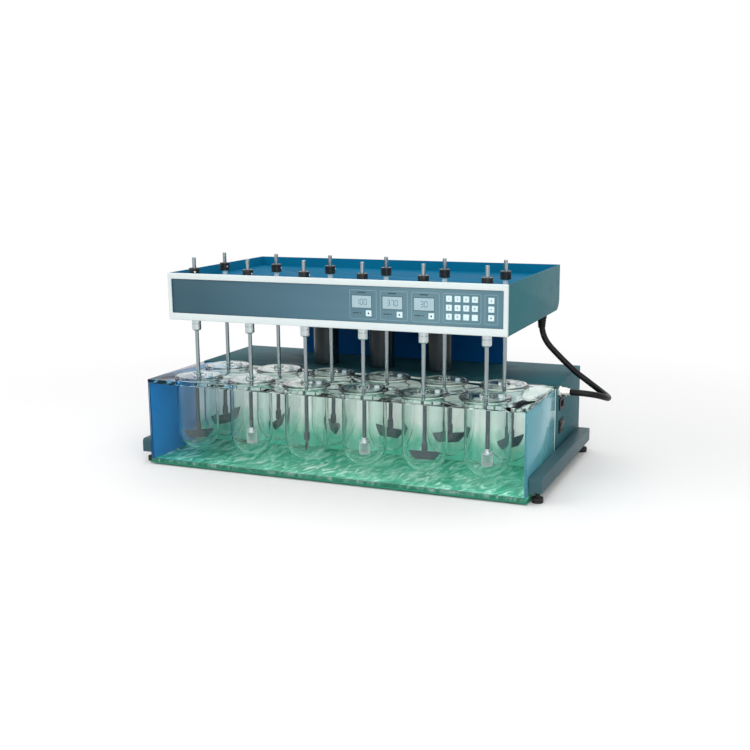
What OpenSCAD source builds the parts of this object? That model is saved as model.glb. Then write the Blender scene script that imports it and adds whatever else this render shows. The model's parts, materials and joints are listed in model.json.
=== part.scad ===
// Tablet dissolution tester: twelve glass vessels in a clear heated water bath,
// each with a paddle or a basket turned by the drive head that a powered lift raises.
// X runs to the right, Y to the back and Z up. The origin is on the bench, under the
// middle of the instrument. Every size is in millimetres.

/* [Base frame] */
// Height of the side arms above the bench
arm_lift = 27; // [20:1:45]
// Width of a side arm
arm_w = 30; // [24:1:40]
// Height of a side arm
arm_h = 34; // [26:1:50]
// Distance from the front of the bath to the front of an arm
arm_front_gap = 13; // [5:1:30]
// Distance from the back of an arm to the back of the housing
arm_back_gap = 18; // [5:1:40]
// Wall of the folded side arms
arm_wall = 3; // [2:0.5:4]
// Radius of the arm's upper corners, front and back
arm_end_r = 9; // [4:1:14]
// Gap between the bath and the side arms
arm_gap = 3; // [3:0.5:8]
// Thickness of the pan that carries the rear housing
pan_t = 6; // [4:0.5:8]
// Diameter of a levelling foot
foot_d = 26; // [18:1:28]
// Height of a levelling foot's rubber
foot_h = 12; // [8:1:16]
// Diameter of a levelling foot's stem
foot_stem_d = 10; // [8:1:12]
// Length of the stem inside its boss
foot_stem_h = 18; // [12:1:22]
// Distance from an arm's end to its foot
foot_inset = 22; // [18:1:60]

/* [Water bath] */
// Height of the rubber pads under the tray
pad_h = 4; // [3:0.5:8]
// Diameter of the rubber pads under the tray
pad_d = 30; // [20:1:40]
// Thickness of the green tray under the bath
tray_t = 4; // [3:0.5:6]
// Thickness of the tray's upturned sides
tray_side_t = 1.5; // [1:0.5:2]
// Height of the tray's upturned sides above its floor
tray_side_h = 40; // [25:1:60]
// Height of the tank's walls
tank_h = 203; // [195:1:230]
// Wall of the tank
tank_wall = 6; // [5:0.5:8]
// Floor of the tank
tank_floor = 8; // [5:0.5:10]
// Thickness of the cement between the tank's panes
cement = 0.05; // [0.05:0.05:0.2]
// From an end vessel's axis to the tank's end
tank_end_space = 111; // [90:1:140]
// From a vessel row's axis to the tank's front or back
tank_side_space = 61; // [61:1:75]
// Thickness of the vessel plate
plate_t = 8; // [6:0.5:12]
// Depth of the step that locates the plate inside the tank
plate_step = 4; // [2:0.5:6]
// Clearance between that step and the tank's walls
plate_clear = 0.5; // [0.3:0.1:1]

/* [Vessels] */
// Distance between vessels along a row
pitch_x = 150; // [140:1:165]
// Distance between the two rows
pitch_y = 148; // [140:1:165]
// Bore of a vessel
vessel_bore = 99; // [95:1:101]
// Glass thickness
vessel_wall = 2.5; // [2:0.25:3]
// How far a vessel hangs below the top of the plate
vessel_drop = 179; // [165:1:183]
// Diameter of a vessel's rim
vessel_rim_d = 118; // [112:1:120]
// Thickness of a vessel's rim
vessel_rim_t = 5; // [3:0.5:8]
// Radial clearance of a vessel in its plate hole
vessel_clear = 0.75; // [0.4:0.05:1.2]
// Diameter of a vessel lid
lid_d = 112; // [108:1:116]
// Thickness of a vessel lid
lid_t = 3; // [2:0.5:5]
// Depth of the ring under a lid
lid_ring_h = 4; // [2:0.5:8]
// Thickness of the ring under a lid
lid_ring_t = 3; // [2:0.5:4]
// Radial clearance of the lid's ring in the vessel
lid_ring_clear = 1.5; // [1:0.1:2.5]
// Diameter of the boss round the rod on a lid
lid_boss_d = 26; // [22:1:34]
// Height of the boss round the rod on a lid
lid_boss_h = 7; // [4:0.5:12]
// Radial clearance of the rod in a lid
lid_rod_clear = 1.25; // [0.75:0.05:1.75]
// Diameter of the capped sampling port on a lid
lid_port_d = 12; // [8:0.5:16]
// Height of the capped sampling port above the lid
lid_port_h = 6; // [3:0.5:10]
// Distance of the sampling port from the rod
lid_port_r = 34; // [24:1:40]

/* [Stirrers] */
// Diameter of a stirring rod
rod_d = 9.5; // [8:0.1:10.5]
// Height of a stirrer above the inside bottom of its vessel
stir_gap = 25; // [15:1:35]
// Height of a stirrer, from its foot to the top of its hub
stir_h = 37; // [34:1:50]
// Height of a paddle blade
blade_h = 19; // [14:1:24]
// Thickness of a paddle blade
blade_t = 4; // [3:0.5:6]
// Radius of the curved ends of a paddle blade
blade_r = 41.5; // [36:0.5:42]
// Width of a paddle blade at its foot
blade_foot_w = 42; // [34:1:50]
// Diameter of a stirrer's hub
hub_d = 14; // [13:0.5:20]
// Diameter of a basket
basket_d = 25; // [21:0.5:30]
// Wall of a basket
basket_wall = 1; // [0.8:0.1:1.5]
// Height of a basket's cup
basket_cup_h = 27; // [22:1:30]
// Thickness of a basket's cap
basket_cap_t = 3; // [2:0.5:4]
// Diameter of the vent in a basket's cap
basket_vent_d = 2; // [1.5:0.1:3]
// Distance of that vent from the rod's axis
basket_vent_r = 10; // [9.5:0.1:10.5]
// Height of a rod above its collar
rod_stub = 26; // [15:1:45]

/* [Spindles] */
// Diameter of a hollow drive spindle
quill_d = 20; // [18:0.5:21]
// Running clearance of a rod in its spindle
rod_clear = 0.05; // [0.02:0.01:0.1]
// Diameter of a spindle's neck above the top tray
neck_d = 12.5; // [12:0.25:14]
// Diameter of a clamping collar
collar_d = 26; // [20:0.5:30]
// Height of a clamping collar
collar_h = 19.5; // [12:0.5:26]
// Height of a clamping collar above the floor of the top tray
collar_lift = 15.5; // [8:0.5:24]
// Diameter of a rod chuck
chuck_d = 23; // [22:0.5:28]
// Height of a rod chuck
chuck_h = 28; // [24:1:40]
// Depth of the spindle inside its chuck
chuck_grip = 18; // [12:1:20]
// Outside diameter of a spindle bearing
bearing_d = 32; // [28:0.5:33]
// Width of a spindle bearing
bearing_w = 7; // [5:0.5:9]
// Running clearance of a spindle in its bearings
bearing_clear = 0.05; // [0.02:0.01:0.1]
// Wall round a spindle bearing
boss_wall = 3; // [2:0.5:4]
// Height of a bearing boss above the deck
boss_h = 36; // [28:1:40]
// Radius at which a belt runs on its pulley
belt_r = 14; // [13:0.5:15]
// Thickness of a drive belt
belt_t = 2.5; // [1.5:0.5:3]
// Width of a drive belt
belt_w = 9; // [6:0.5:10]
// Gap between a belt and its pulley
belt_gap = 0.3; // [0.2:0.05:0.5]
// Height of a pulley's flanges beyond the belt's running radius
flange_over = 3; // [2:0.5:4]
// Thickness of a pulley's flanges
flange_t = 2; // [1.5:0.5:3]
// Free height left beside a belt between two flanges
belt_side_gap = 1; // [0.5:0.25:1.5]

/* [Drive head] */
// Height of the drive head
head_h = 115; // [110:1:140]
// Depth of the drive head
head_d = 490; // [440:1:520]
// From the front row of spindles to the front of the head
head_front_space = 34; // [33:1:45]
// From an end spindle to the head's side
head_end_space = 57; // [50:1:80]
// Sheet thickness of the head's casing
head_sheet = 2; // [1.5:0.5:3]
// Thickness of the deck plate
deck_t = 6; // [5:0.5:8]
// Radius of the casing's lower rear corner
head_corner_r = 30; // [15:1:50]
// Depth of the tray in the head's top
top_recess = 24; // [15:1:26]
// Depth of the front frame
bezel_t = 8; // [7:0.5:12]
// Width of the front frame's sides
bezel_side = 10; // [8:0.5:20]
// Height of the front frame's upper rail
bezel_top = 14; // [10:0.5:20]
// Height of the front frame's lower rail
bezel_bottom = 17; // [12:0.5:22]
// How far the control panel lies behind the frame's front
panel_set = 4; // [2:0.5:5]
// Thickness of the control panel
panel_t = 3; // [2:0.25:3.5]
// How far the panel tucks behind the frame
panel_lap = 5; // [3:0.5:7]
// Clearance round the panel's edges and windows
panel_clear = 0.3; // [0.2:0.05:0.5]

/* [Keys and displays] */
// Side of a key
key_w = 13.5; // [10:0.25:14]
// Distance between keys in the pad
key_pitch = 20; // [19.5:0.25:22]
// Distance between the three keys on the right
mode_pitch = 19; // [19:0.25:22]
// Clearance of a key in the panel
key_clear = 0.5; // [0.3:0.05:0.8]
// How far a key stands out of the panel
key_proud = 2; // [1:0.1:3]
// Travel of a key
key_travel = 1; // [0.5:0.05:1]
// Width of the rim that keeps a key behind the panel
key_rim = 1; // [0.75:0.05:1.25]
// Thickness of that rim
key_rim_t = 1.3; // [0.8:0.1:1.5]
// Middle of the key pad, from the head's middle
pad_x = 326.5; // [315:0.5:335]
// Column of the three keys on the right, from the head's middle
mode_x = 394; // [385:0.5:398]
// Height of the keys' middle above the head's bottom
pad_z = 59; // [56:0.5:62]
// Width of a display window
window_w = 48; // [40:0.5:52]
// Height of a display window
window_h = 28; // [22:0.5:30]
// Distance between display windows
window_pitch = 76; // [70:0.5:80]
// Middle display window, from the head's middle
window_x = 161; // [150:0.5:165]
// Height of the windows' middle above the head's bottom
window_z = 64; // [62:0.5:68]
// Display key, to the right of its window's middle
window_key_x = 18; // [10:0.5:20]
// Height of the display keys' middle above the head's bottom
window_key_z = 38; // [34:0.5:39]
// Gap between the panel's back and the circuit board
board_gap = 5; // [4.5:0.1:5.5]
// Thickness of the circuit board
board_t = 1.6; // [1:0.1:2]

/* [Lift] */
// Height of the columns seen between the rear housing and the head
column_show = 149.5; // [130:0.5:180]
// Diameter of a column sleeve
sleeve_d = 66; // [60:1:70]
// Wall of a column sleeve
sleeve_wall = 4; // [3:0.5:5]
// Diameter of a moving column
column_d = 50; // [42:1:51]
// Wall of a moving column
column_wall = 5; // [4:0.5:6]
// Distance between columns
column_pitch = 160; // [120:1:180]
// From the housing's front to the columns
column_back = 90; // [70:1:120]
// Running clearance of the columns in their bushes
column_clear = 0.05; // [0.02:0.01:0.1]
// Length of a column's guide bush
bush_h = 40; // [25:1:60]
// Thickness of the flange that joins a column to the deck
column_flange_t = 6; // [4:0.5:10]
// Gap between a sleeve's top and the column's flange
sleeve_top_gap = 1; // [0.5:0.25:3]
// Space under a moving column at rest
column_foot_gap = 6; // [3:1:20]
// Travel of the head
lift_travel = 180; // [160:1:185]
// How far the screw passes the lift nut at its highest
screw_over = 44; // [20:1:50]
// Diameter of the lift screw
screw_d = 20; // [16:0.5:24]
// Running clearance of the screw in its nut and bearing
screw_clear = 0.05; // [0.02:0.01:0.1]
// Height of the lift nut
nut_h = 30; // [20:1:40]
// Side of the lift gearmotor
lift_motor_w = 90; // [84:1:110]
// Height of the lift gearmotor
lift_motor_h = 59; // [45:1:65]
// Depth of the screw's lower bearing
screw_seat = 12; // [8:1:20]

/* [Rear housing] */
// Height of the rear housing above its pan
housing_h = 186.5; // [175:0.5:200]
// Depth of the rear housing
housing_d = 270; // [240:1:300]
// Sheet thickness of the rear housing
housing_sheet = 2; // [1.5:0.5:3]
// Clearance round what passes through the housing
cut_clear = 0.5; // [0.3:0.1:1]
// Width of the shroud behind the columns
shroud_w = 590; // [520:1:640]
// Depth of that shroud
shroud_d = 18; // [10:1:24]
// From the columns to the shroud's front
shroud_back = 138; // [110:1:150]
// Gap between the shroud and the head
shroud_gap = 3; // [2:0.5:8]
// Width of a cooling slot in the back panel
vent_w = 60; // [40:1:80]
// Height of a cooling slot
vent_h = 5; // [4:0.5:8]
// Distance between cooling slots
vent_pitch = 14; // [12:0.5:18]
// Number of cooling slots in a group
vent_rows = 8; // [4:1:9]
// Diameter of the pipes between housing and bath
pipe_d = 16; // [12:0.5:20]
// Clearance round those pipes
pipe_clear = 0.25; // [0.2:0.05:0.5]
// Height of those pipes above the pan
pipe_z = 30; // [24:1:45]
// How far those pipes reach into the bath
pipe_reach = 14; // [8:1:24]
// Distance of the suction pipe from the left end of the bath
suction_x = 90; // [60:1:120]
// Distance of the delivery pipe from the middle of the bath
delivery_x = 90; // [60:1:110]
// Diameter of the pump
pump_d = 56; // [40:1:58]
// Length of the pump
pump_len = 60; // [40:1:80]
// Diameter of the heater tube
heater_d = 50; // [36:1:56]
// Distance of the heater tube from the pump's middle
heater_gap = 90; // [60:1:120]
// How far the heater tube passes the delivery pipe
heater_over = 20; // [14:1:30]
// Gap between the columns' sleeves and the pump
pump_gap = 10; // [6:1:20]
// Thickness of the brackets under pump and heater
bracket_t = 12; // [8:1:20]

/* [Power entry] */
// Power inlet and switch, from the housing's front
entry_y = 58; // [45:1:80]
// Height of the power inlet above the housing's bottom
inlet_z = 131; // [110:1:140]
// Height of the rocker switch above the housing's bottom
rocker_z = 75; // [50:1:80]
// Width of the inlet's flange
inlet_w = 48; // [46:1:54]
// Height of the inlet's flange
inlet_h = 28; // [26:1:32]
// Width of the switch frame
rocker_frame_w = 46; // [42:1:52]
// Height of the switch frame
rocker_frame_h = 32; // [30:1:38]
// Thickness of the flanges of inlet and switch
entry_flange_t = 2.5; // [1.5:0.5:4]
// Depth of inlet and switch behind the housing's wall
entry_depth = 18; // [17:1:30]
// Width of the rocker
rocker_w = 35; // [28:0.5:36]
// Radius of the rocker's curved sides
rocker_r = 10.8; // [9:0.1:11]
// From the rocker's pivot to the middle of its face
rocker_face = 5.5; // [5:0.25:6.5]
// Depth of the hollow in the rocker's face
rocker_hollow = 1.8; // [1:0.1:2.2]
// Clearance round the rocker
rocker_clear = 0.4; // [0.3:0.05:0.6]
// Tilt of the rocker to each side
rocker_tilt = 8; // [5:0.5:10]
// Diameter of the rocker's pivot pins
rocker_pin_d = 4; // [3:0.25:5]
// Depth of the pin holes beside the rocker
rocker_pin_l = 2.5; // [1.5:0.1:3]
// Running clearance of the rocker's pins
rocker_pin_clear = 0.05; // [0.02:0.01:0.1]

/* [Cable hose] */
// Diameter of the cable hose
hose_d = 15; // [12:0.5:16]
// From the housing's front to the side gland
gland_back = 18; // [16:1:24]
// Height of the side gland above the pan
gland_up = 168; // [160:1:172]
// Diameter of the side gland's thread
gland_thread_d = 16; // [14:1:18]
// Length of that thread inside the housing
gland_thread_l = 10; // [6:1:14]
// From the head's right side to the gland under it
head_gland_in = 19; // [16:1:24]
// From the columns back to the gland under the head
head_gland_back = 52; // [45:1:60]
// Width across the flats of the side gland's nut
gland_nut_w = 24; // [20:1:28]
// Length of the side gland outside the housing
gland_len = 30; // [24:1:32]
// Diameter of the gland under the head
head_gland_d = 24; // [20:0.5:28]
// Length of the gland under the head
head_gland_h = 10; // [6:0.5:14]

/* [Hidden] */
// Stirring positions along a row, front row first
positions = [0:5];
row_names = ["front", "back"];
// Positions of the front row that hold a basket, the others hold a paddle
basket_places = [1, 3, 5];
pad_columns = 4;
pad_rows = 3;
mode_keys = 3;
windows = 3;
eps = 0.01;
fine = 96;
small = 48;

spindle_names = [for (row = row_names, i = positions) str("spindle_", row, "_", i + 1)];
pad_key_names = [for (i = [1:pad_columns * pad_rows]) str("pad_key_", i)];
mode_key_names = [for (i = [1:mode_keys]) str("mode_key_", i)];
window_key_names = [for (i = [1:windows]) str("display_key_", i)];

// Lengths along X, and the half widths about the middle
row_len = pitch_x * (len([for (i = positions) i]) - 1);
tank_hx = row_len / 2 + tank_end_space;
head_hx = row_len / 2 + head_end_space;
arm_in_x = tank_hx + arm_gap;
arm_out_x = arm_in_x + arm_w;
foot_x = arm_in_x + arm_w / 2;

// Places along Y: the bath lies in front of split_y, the rear housing behind it
tank_d = pitch_y + 2 * tank_side_space;
front_y = -(tank_d + housing_d) / 2;
split_y = front_y + tank_d;
back_y = split_y + housing_d;
row_y = [front_y + tank_side_space, front_y + tank_side_space + pitch_y];
arm_y = front_y + arm_front_gap;
arm_len = back_y - arm_back_gap - arm_y;
foot_ys = [arm_y + foot_inset, arm_y + arm_len - foot_inset];
head_y = row_y[0] - head_front_space;
head_back_y = head_y + head_d;
column_y = split_y + column_back;
column_xs = [-column_pitch, 0, column_pitch];

// Heights
tank_z = pad_h + tray_t;
plate_z = tank_z + tank_h;
plate_top = plate_z + plate_t;
vessel_r = vessel_bore / 2 + vessel_wall;
vessel_mid_z = plate_top - vessel_drop + vessel_r;
stir_z = plate_top - vessel_drop + vessel_wall + stir_gap;
lid_z = plate_top + vessel_rim_t;
pan_top = arm_lift + pan_t;
housing_top = pan_top + housing_h;
head_z = housing_top + column_show;
head_top = head_z + head_h;
deck_top = head_z + deck_t;
boss_top = deck_top + boss_h;
tray_floor_z = head_top - top_recess;
collar_z = tray_floor_z + collar_lift;
rod_top = collar_z + collar_h + rod_stub;

// Spindle and belt drive
rod_r = rod_d / 2;
chuck_gap = 1;
quill_gap = 1;
neck_gap = 2;
bearing_z = head_z + 2;
chuck_top = head_z - chuck_gap;
chuck_z = chuck_top - chuck_h;
belt_room = belt_w + 2 * belt_side_gap;
belt_step = belt_room + flange_t;
pulley_gap = 3;
pulley_z = boss_top + pulley_gap;
pulley_h = 2 * belt_step + flange_t;
belt_levels = [pulley_z + flange_t + belt_side_gap, pulley_z + flange_t + belt_side_gap + belt_step];
motor_x = -row_len / 2;
motor_y = row_y[1] + pitch_x;
motor_d = 80;
motor_shaft_d = 12;
motor_hole = 14;
shaft_z = boss_top - motor_hole + 1;

// Lift
sleeve_top = head_z - column_flange_t - sleeve_top_gap;
lift_motor_top = pan_top + lift_motor_h;
column_z = pan_top + column_foot_gap;
nut_z = lift_motor_top + column_foot_gap;
screw_neck_d = 12;
screw_z = lift_motor_top + 0.5;
screw_neck_z = lift_motor_top - screw_seat + 1;
screw_top = nut_z + nut_h + lift_travel + screw_over;
shroud_y = column_y + shroud_back;
vent_spread = 0.75;

// The suction pipe and the delivery pipe between the bath and the pump
pipe_xs = [-tank_hx + suction_x, -delivery_x];
pipe_mid_z = pan_top + pipe_z;
pump_y = column_y + (sleeve_d + pump_d) / 2 + pump_gap;

// Control panel, from its front to the circuit board
panel_y = head_y + panel_set;
panel_back = panel_y + panel_t;
board_y = panel_back + board_gap;
board_edge = 8;
board_top_edge = 6;
board_x = window_x - window_pitch - window_w / 2 - board_edge;
board_end_x = mode_x + key_w / 2 + board_edge;
board_z = head_z + window_key_z - key_w / 2 - board_edge;
board_end_z = head_z + window_z + window_h / 2 + board_top_edge;
post_d = 4;
post_in = 4;
switch_d = 3.5;
key_back = panel_back + key_clear / 2 + key_rim_t;
switch_gap = 0.1;
pad_key_spots = [for (row = [0:pad_rows - 1], column = [0:pad_columns - 1])
    [pad_x + (column - (pad_columns - 1) / 2) * key_pitch,
     head_z + pad_z + ((pad_rows - 1) / 2 - row) * key_pitch]];
mode_key_spots = [for (i = [0:mode_keys - 1])
    [mode_x, head_z + pad_z + ((mode_keys - 1) / 2 - i) * mode_pitch]];
window_spots = [for (i = [0:windows - 1])
    [window_x + (i - (windows - 1) / 2) * window_pitch, head_z + window_z]];
window_key_spots = [for (spot = window_spots)
    [spot[0] + window_key_x, head_z + window_key_z]];
key_spots = concat(pad_key_spots, mode_key_spots, window_key_spots);

// Power entry on the right side of the housing
inlet_at = [tank_hx, split_y + entry_y, pan_top + inlet_z];
rocker_at = [tank_hx, split_y + entry_y, pan_top + rocker_z];
rocker_pin_x = tank_hx - 2;
pin_end_gap = 0.3;
rocker_back = 4;
rocker_floor = 2;
// Lap of each flange over the body behind it, and the walls round the socket
inlet_lap_y = 4;
inlet_lap_z = 3;
rocker_lap = 2;
socket_side = 10;
socket_rim = 6;
socket_floor = 4;
// Half the width and height of the bodies behind the two flanges, and of the socket
inlet_y = inlet_w / 2 - inlet_lap_y;
inlet_zz = inlet_h / 2 - inlet_lap_z;
rocker_y = rocker_frame_w / 2 - rocker_lap;
rocker_zz = rocker_frame_h / 2 - rocker_lap;
socket_y = inlet_w / 2 - socket_side;
socket_z = inlet_h / 2 - socket_rim;
socket_depth = entry_depth - socket_floor;
// The inlet's three contacts
contact_pitch = 7;
contact_t = 2;
contact_h = 5;
contact_set = 3;

// Cable hose: round points from the gland under the head to the gland on the housing
gland_y = split_y + gland_back;
gland_z = pan_top + gland_up;
gland_nut_len = gland_len * 0.3;
gland_cap_len = gland_len * 0.75;
gland_cap_d = gland_nut_w - 2;
gland_neck_d = hose_d + 3;
head_gland_at = [head_hx - head_gland_in, column_y + head_gland_back];
hose_points = [
    [413, 142, 359], [413, 142, 335], [419, 143, 311], [432, 143, 291], [449, 142, 275],
    [467, 140, 258], [485, 141, 242], [502, 145, 225], [521, 150, 211], [541, 149, 197],
    [561, 141, 186], [578, 126, 179], [591, 105, 177], [596, 82, 179], [593, 59, 185],
    [582, 39, 193], [563, 25, 198], [540, 18, 201], [516, 18, 201]];
hose_sides = 12;
hose_wall = 2.5;
wire_bore = hose_d - 2 * hose_wall;

// A row position's place, front row first
function spot(row, i) = [(i - (len([for (k = positions) k]) - 1) / 2) * pitch_x, row_y[row]];

module at_spots() {
    for (row = [0, 1], i = positions) translate(spot(row, i)) children();
}

// A block from one corner to the opposite corner
module block(low, high) {
    translate(low) cube(high - low);
}

// A cylinder that lies along Y, from its first end backwards
module along_y(d, length, sides = small) {
    rotate([-90, 0, 0]) cylinder(d = d, h = length, $fn = sides);
}

// A cylinder that lies along X, from its first end to the right
module along_x(d, length, sides = small) {
    rotate([0, 90, 0]) cylinder(d = d, h = length, $fn = sides);
}

// A ring: a tube of the given height
module ring(d_out, d_in, h) {
    difference() {
        cylinder(d = d_out, h = h, $fn = fine);
        translate([0, 0, -eps]) cylinder(d = d_in, h = h + 2 * eps, $fn = fine);
    }
}

// The arm's side outline with round upper corners, drawn in Y and Z
module arm_outline(inset) {
    r = arm_end_r - inset;
    low = arm_lift - (inset > 0 ? eps : 0);
    translate([arm_y + inset, low]) square([arm_len - 2 * inset, arm_lift + arm_h - inset - r - low]);
    translate([arm_y + inset + r, low])
        square([arm_len - 2 * inset - 2 * r, arm_lift + arm_h - inset - low]);
    for (y = [arm_y + inset + r, arm_y + arm_len - inset - r])
        translate([y, arm_lift + arm_h - inset - r]) circle(r = r, $fn = small);
}

// Turns an outline in Y and Z into a solid between two places on X
module extrude_x(x0, x1) {
    translate([x0, 0, 0]) rotate([90, 0, 90]) linear_extrude(x1 - x0) children();
}

module side_arm(x0) {
    difference() {
        extrude_x(x0, x0 + arm_w) arm_outline(0);
        extrude_x(x0 + arm_wall, x0 + arm_w - arm_wall) arm_outline(arm_wall);
    }
    // Bosses that the levelling feet screw into
    for (y = foot_ys)
        difference() {
            block([x0 + arm_wall, y - arm_w / 2 + arm_wall, arm_lift],
                  [x0 + arm_w - arm_wall, y + arm_w / 2 - arm_wall, arm_lift + arm_h - arm_wall]);
            translate([x0 + arm_w / 2, y, arm_lift - eps])
                cylinder(d = foot_stem_d, h = foot_stem_h + eps, $fn = small);
        }
}

module base_frame() {
    color("darkslategray") {
        for (x0 = [-arm_out_x, arm_in_x]) side_arm(x0);
        block([-arm_in_x, split_y, arm_lift], [arm_in_x, back_y - housing_sheet, pan_top]);
    }
}

module rubber_feet() {
    color("dimgray") {
        for (x = [-foot_x, foot_x], y = foot_ys) translate([x, y, 0]) {
            cylinder(d = foot_d, h = foot_h, $fn = fine);
            translate([0, 0, foot_h])
                cylinder(d = foot_stem_d, h = arm_lift - foot_h + foot_stem_h, $fn = small);
        }
        for (x = [-1, 0, 1] * (tank_hx - pad_d), y = row_y) translate([x, y, 0])
            cylinder(d = pad_d, h = pad_h, $fn = small);
    }
}

module tank_tray() {
    color("seagreen") {
        block([-arm_in_x, front_y, pad_h], [arm_in_x, split_y, tank_z]);
        for (side = [-1, 1]) translate([side * (arm_in_x - tray_side_t / 2), 0, 0])
            block([-tray_side_t / 2, arm_y + arm_end_r, tank_z - eps],
                  [tray_side_t / 2, split_y, tank_z + tray_side_h]);
    }
}

module pipe_holes(y0, y1) {
    for (x = pipe_xs) translate([x, y0, pipe_mid_z])
        along_y(pipe_d + 2 * pipe_clear, y1 - y0);
}

// Five panes with a film of cement between them: floor, front, back and the two ends
module tank_panes() {
    z = tank_z + tank_floor + cement;
    block([-tank_hx, front_y, tank_z], [tank_hx, split_y, tank_z + tank_floor]);
    for (y = [front_y, split_y - tank_wall])
        block([-tank_hx, y, z], [tank_hx, y + tank_wall, plate_z]);
    for (x = [-tank_hx, tank_hx - tank_wall])
        block([x, front_y + tank_wall + cement, z],
              [x + tank_wall, split_y - tank_wall - cement, plate_z]);
}

module water_tank() {
    color("lightskyblue", 0.35) difference() {
        tank_panes();
        pipe_holes(split_y - tank_wall - eps, split_y + eps);
    }
}

module vessel_plate() {
    step_in = tank_wall + plate_clear;
    color("honeydew", 0.4) difference() {
        union() {
            block([-tank_hx, front_y, plate_z], [tank_hx, split_y, plate_top]);
            block([-tank_hx + step_in, front_y + step_in, plate_z - plate_step],
                  [tank_hx - step_in, split_y - step_in, plate_z + eps]);
        }
        at_spots() translate([0, 0, plate_z - plate_step - eps])
            cylinder(r = vessel_r + vessel_clear, h = plate_t + plate_step + 2 * eps, $fn = fine);
    }
}

module glass_vessels() {
    color("aliceblue", 0.3) at_spots() difference() {
        union() {
            translate([0, 0, vessel_mid_z])
                cylinder(r = vessel_r, h = plate_top - vessel_mid_z, $fn = fine);
            translate([0, 0, vessel_mid_z]) sphere(r = vessel_r, $fn = fine);
            translate([0, 0, plate_top]) cylinder(d = vessel_rim_d, h = vessel_rim_t, $fn = fine);
        }
        translate([0, 0, vessel_mid_z])
            cylinder(d = vessel_bore, h = lid_z - vessel_mid_z + eps, $fn = fine);
        translate([0, 0, vessel_mid_z]) sphere(d = vessel_bore, $fn = fine);
    }
}

module vessel_lids() {
    ring_d = vessel_bore - 2 * lid_ring_clear;
    color("lightcyan", 0.5) at_spots() translate([0, 0, lid_z]) difference() {
        union() {
            cylinder(d = lid_d, h = lid_t, $fn = fine);
            cylinder(d = lid_boss_d, h = lid_t + lid_boss_h, $fn = small);
            translate([0, 0, -lid_ring_h]) ring(ring_d, ring_d - 2 * lid_ring_t, lid_ring_h + eps);
            translate([lid_port_r, 0, 0])
                cylinder(d = lid_port_d, h = lid_t + lid_port_h, $fn = small);
        }
        translate([0, 0, -eps])
            cylinder(r = rod_r + lid_rod_clear, h = lid_t + lid_boss_h + 2 * eps, $fn = small);
    }
}

module housing_cover() {
    s = housing_sheet;
    color("darkcyan") difference() {
        block([-tank_hx, split_y, pan_top], [tank_hx, back_y - s, housing_top]);
        block([-tank_hx + s, split_y + s, pan_top - eps], [tank_hx - s, back_y, housing_top - s]);
        for (x = column_xs) translate([x, column_y, housing_top - s - eps])
            cylinder(d = sleeve_d + 2 * cut_clear, h = s + 2 * eps, $fn = fine);
        pipe_holes(split_y - eps, split_y + s + eps);
        // Cut-outs in the right side for the inlet, the switch and the hose gland
        translate(inlet_at) block([-s - eps, -inlet_y, -inlet_zz], [eps, inlet_y, inlet_zz]);
        translate(rocker_at) block([-s - eps, -rocker_y, -rocker_zz], [eps, rocker_y, rocker_zz]);
        translate([tank_hx - s - eps, gland_y, gland_z])
            along_x(gland_thread_d + 2 * cut_clear, s + 2 * eps);
    }
}

module housing_back_panel() {
    s = housing_sheet;
    slots_x = (tank_hx - vent_w) * vent_spread;
    color("teal") difference() {
        block([-tank_hx, back_y - s, pan_top], [tank_hx, back_y, housing_top]);
        for (x = [-slots_x, slots_x], i = [0:vent_rows - 1])
            translate([x, back_y - s - eps,
                       pan_top + housing_h / 2 + (i - (vent_rows - 1) / 2) * vent_pitch])
                block([-vent_w / 2, 0, -vent_h / 2], [vent_w / 2, s + 2 * eps, vent_h / 2]);
    }
}

// The fixed sleeves with their guide bushes; the middle one stands on the lift gearmotor
module column_sleeves() {
    color("black") for (x = column_xs) {
        z0 = x == 0 ? lift_motor_top : pan_top;
        translate([x, column_y, 0]) {
            translate([0, 0, z0]) ring(sleeve_d, sleeve_d - 2 * sleeve_wall, sleeve_top - z0);
            for (z = [sleeve_top - bush_h, sleeve_top - 3 * bush_h])
                translate([0, 0, z])
                    ring(sleeve_d - 2 * sleeve_wall, column_d + 2 * column_clear, bush_h);
        }
    }
}

module lift_shroud() {
    s = housing_sheet;
    top = head_z - shroud_gap;
    color("midnightblue") difference() {
        block([-shroud_w / 2, shroud_y, housing_top], [shroud_w / 2, shroud_y + shroud_d, top]);
        block([-shroud_w / 2 + s, shroud_y + s, housing_top + s],
              [shroud_w / 2 - s, shroud_y + shroud_d + eps, top - s]);
    }
}

// The pump, the heater tube beside it and the pipes that join them to the bath
module bath_circulator() {
    heater_x = pipe_xs[0] + heater_gap;
    heater_end = pipe_xs[1] + heater_over;
    color("silver") {
        translate([pipe_xs[0] - pump_len / 2, pump_y, pipe_mid_z]) along_x(pump_d, pump_len);
        translate([heater_x, pump_y, pipe_mid_z]) along_x(heater_d, heater_end - heater_x);
        translate([pipe_xs[0], pump_y, pipe_mid_z]) along_x(pipe_d, heater_gap + eps);
        for (x = pipe_xs) translate([x, split_y - pipe_reach, pipe_mid_z])
            along_y(pipe_d, pump_y - split_y + pipe_reach);
        // Brackets on the pan, one under the pump and two under the heater
        for (x = [pipe_xs[0], heater_x + heater_over, heater_end - heater_over])
            block([x - bracket_t / 2, pump_y - pump_d / 3, pan_top],
                  [x + bracket_t / 2, pump_y + pump_d / 3, pipe_mid_z]);
    }
}

module lift_motor() {
    half = lift_motor_w / 2;
    color("gray") translate([0, column_y, 0]) difference() {
        block([-half, -half, pan_top], [half, half, lift_motor_top]);
        translate([0, 0, lift_motor_top - screw_seat])
            cylinder(d = screw_neck_d + 2 * screw_clear, h = screw_seat + eps, $fn = small);
    }
}

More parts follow.
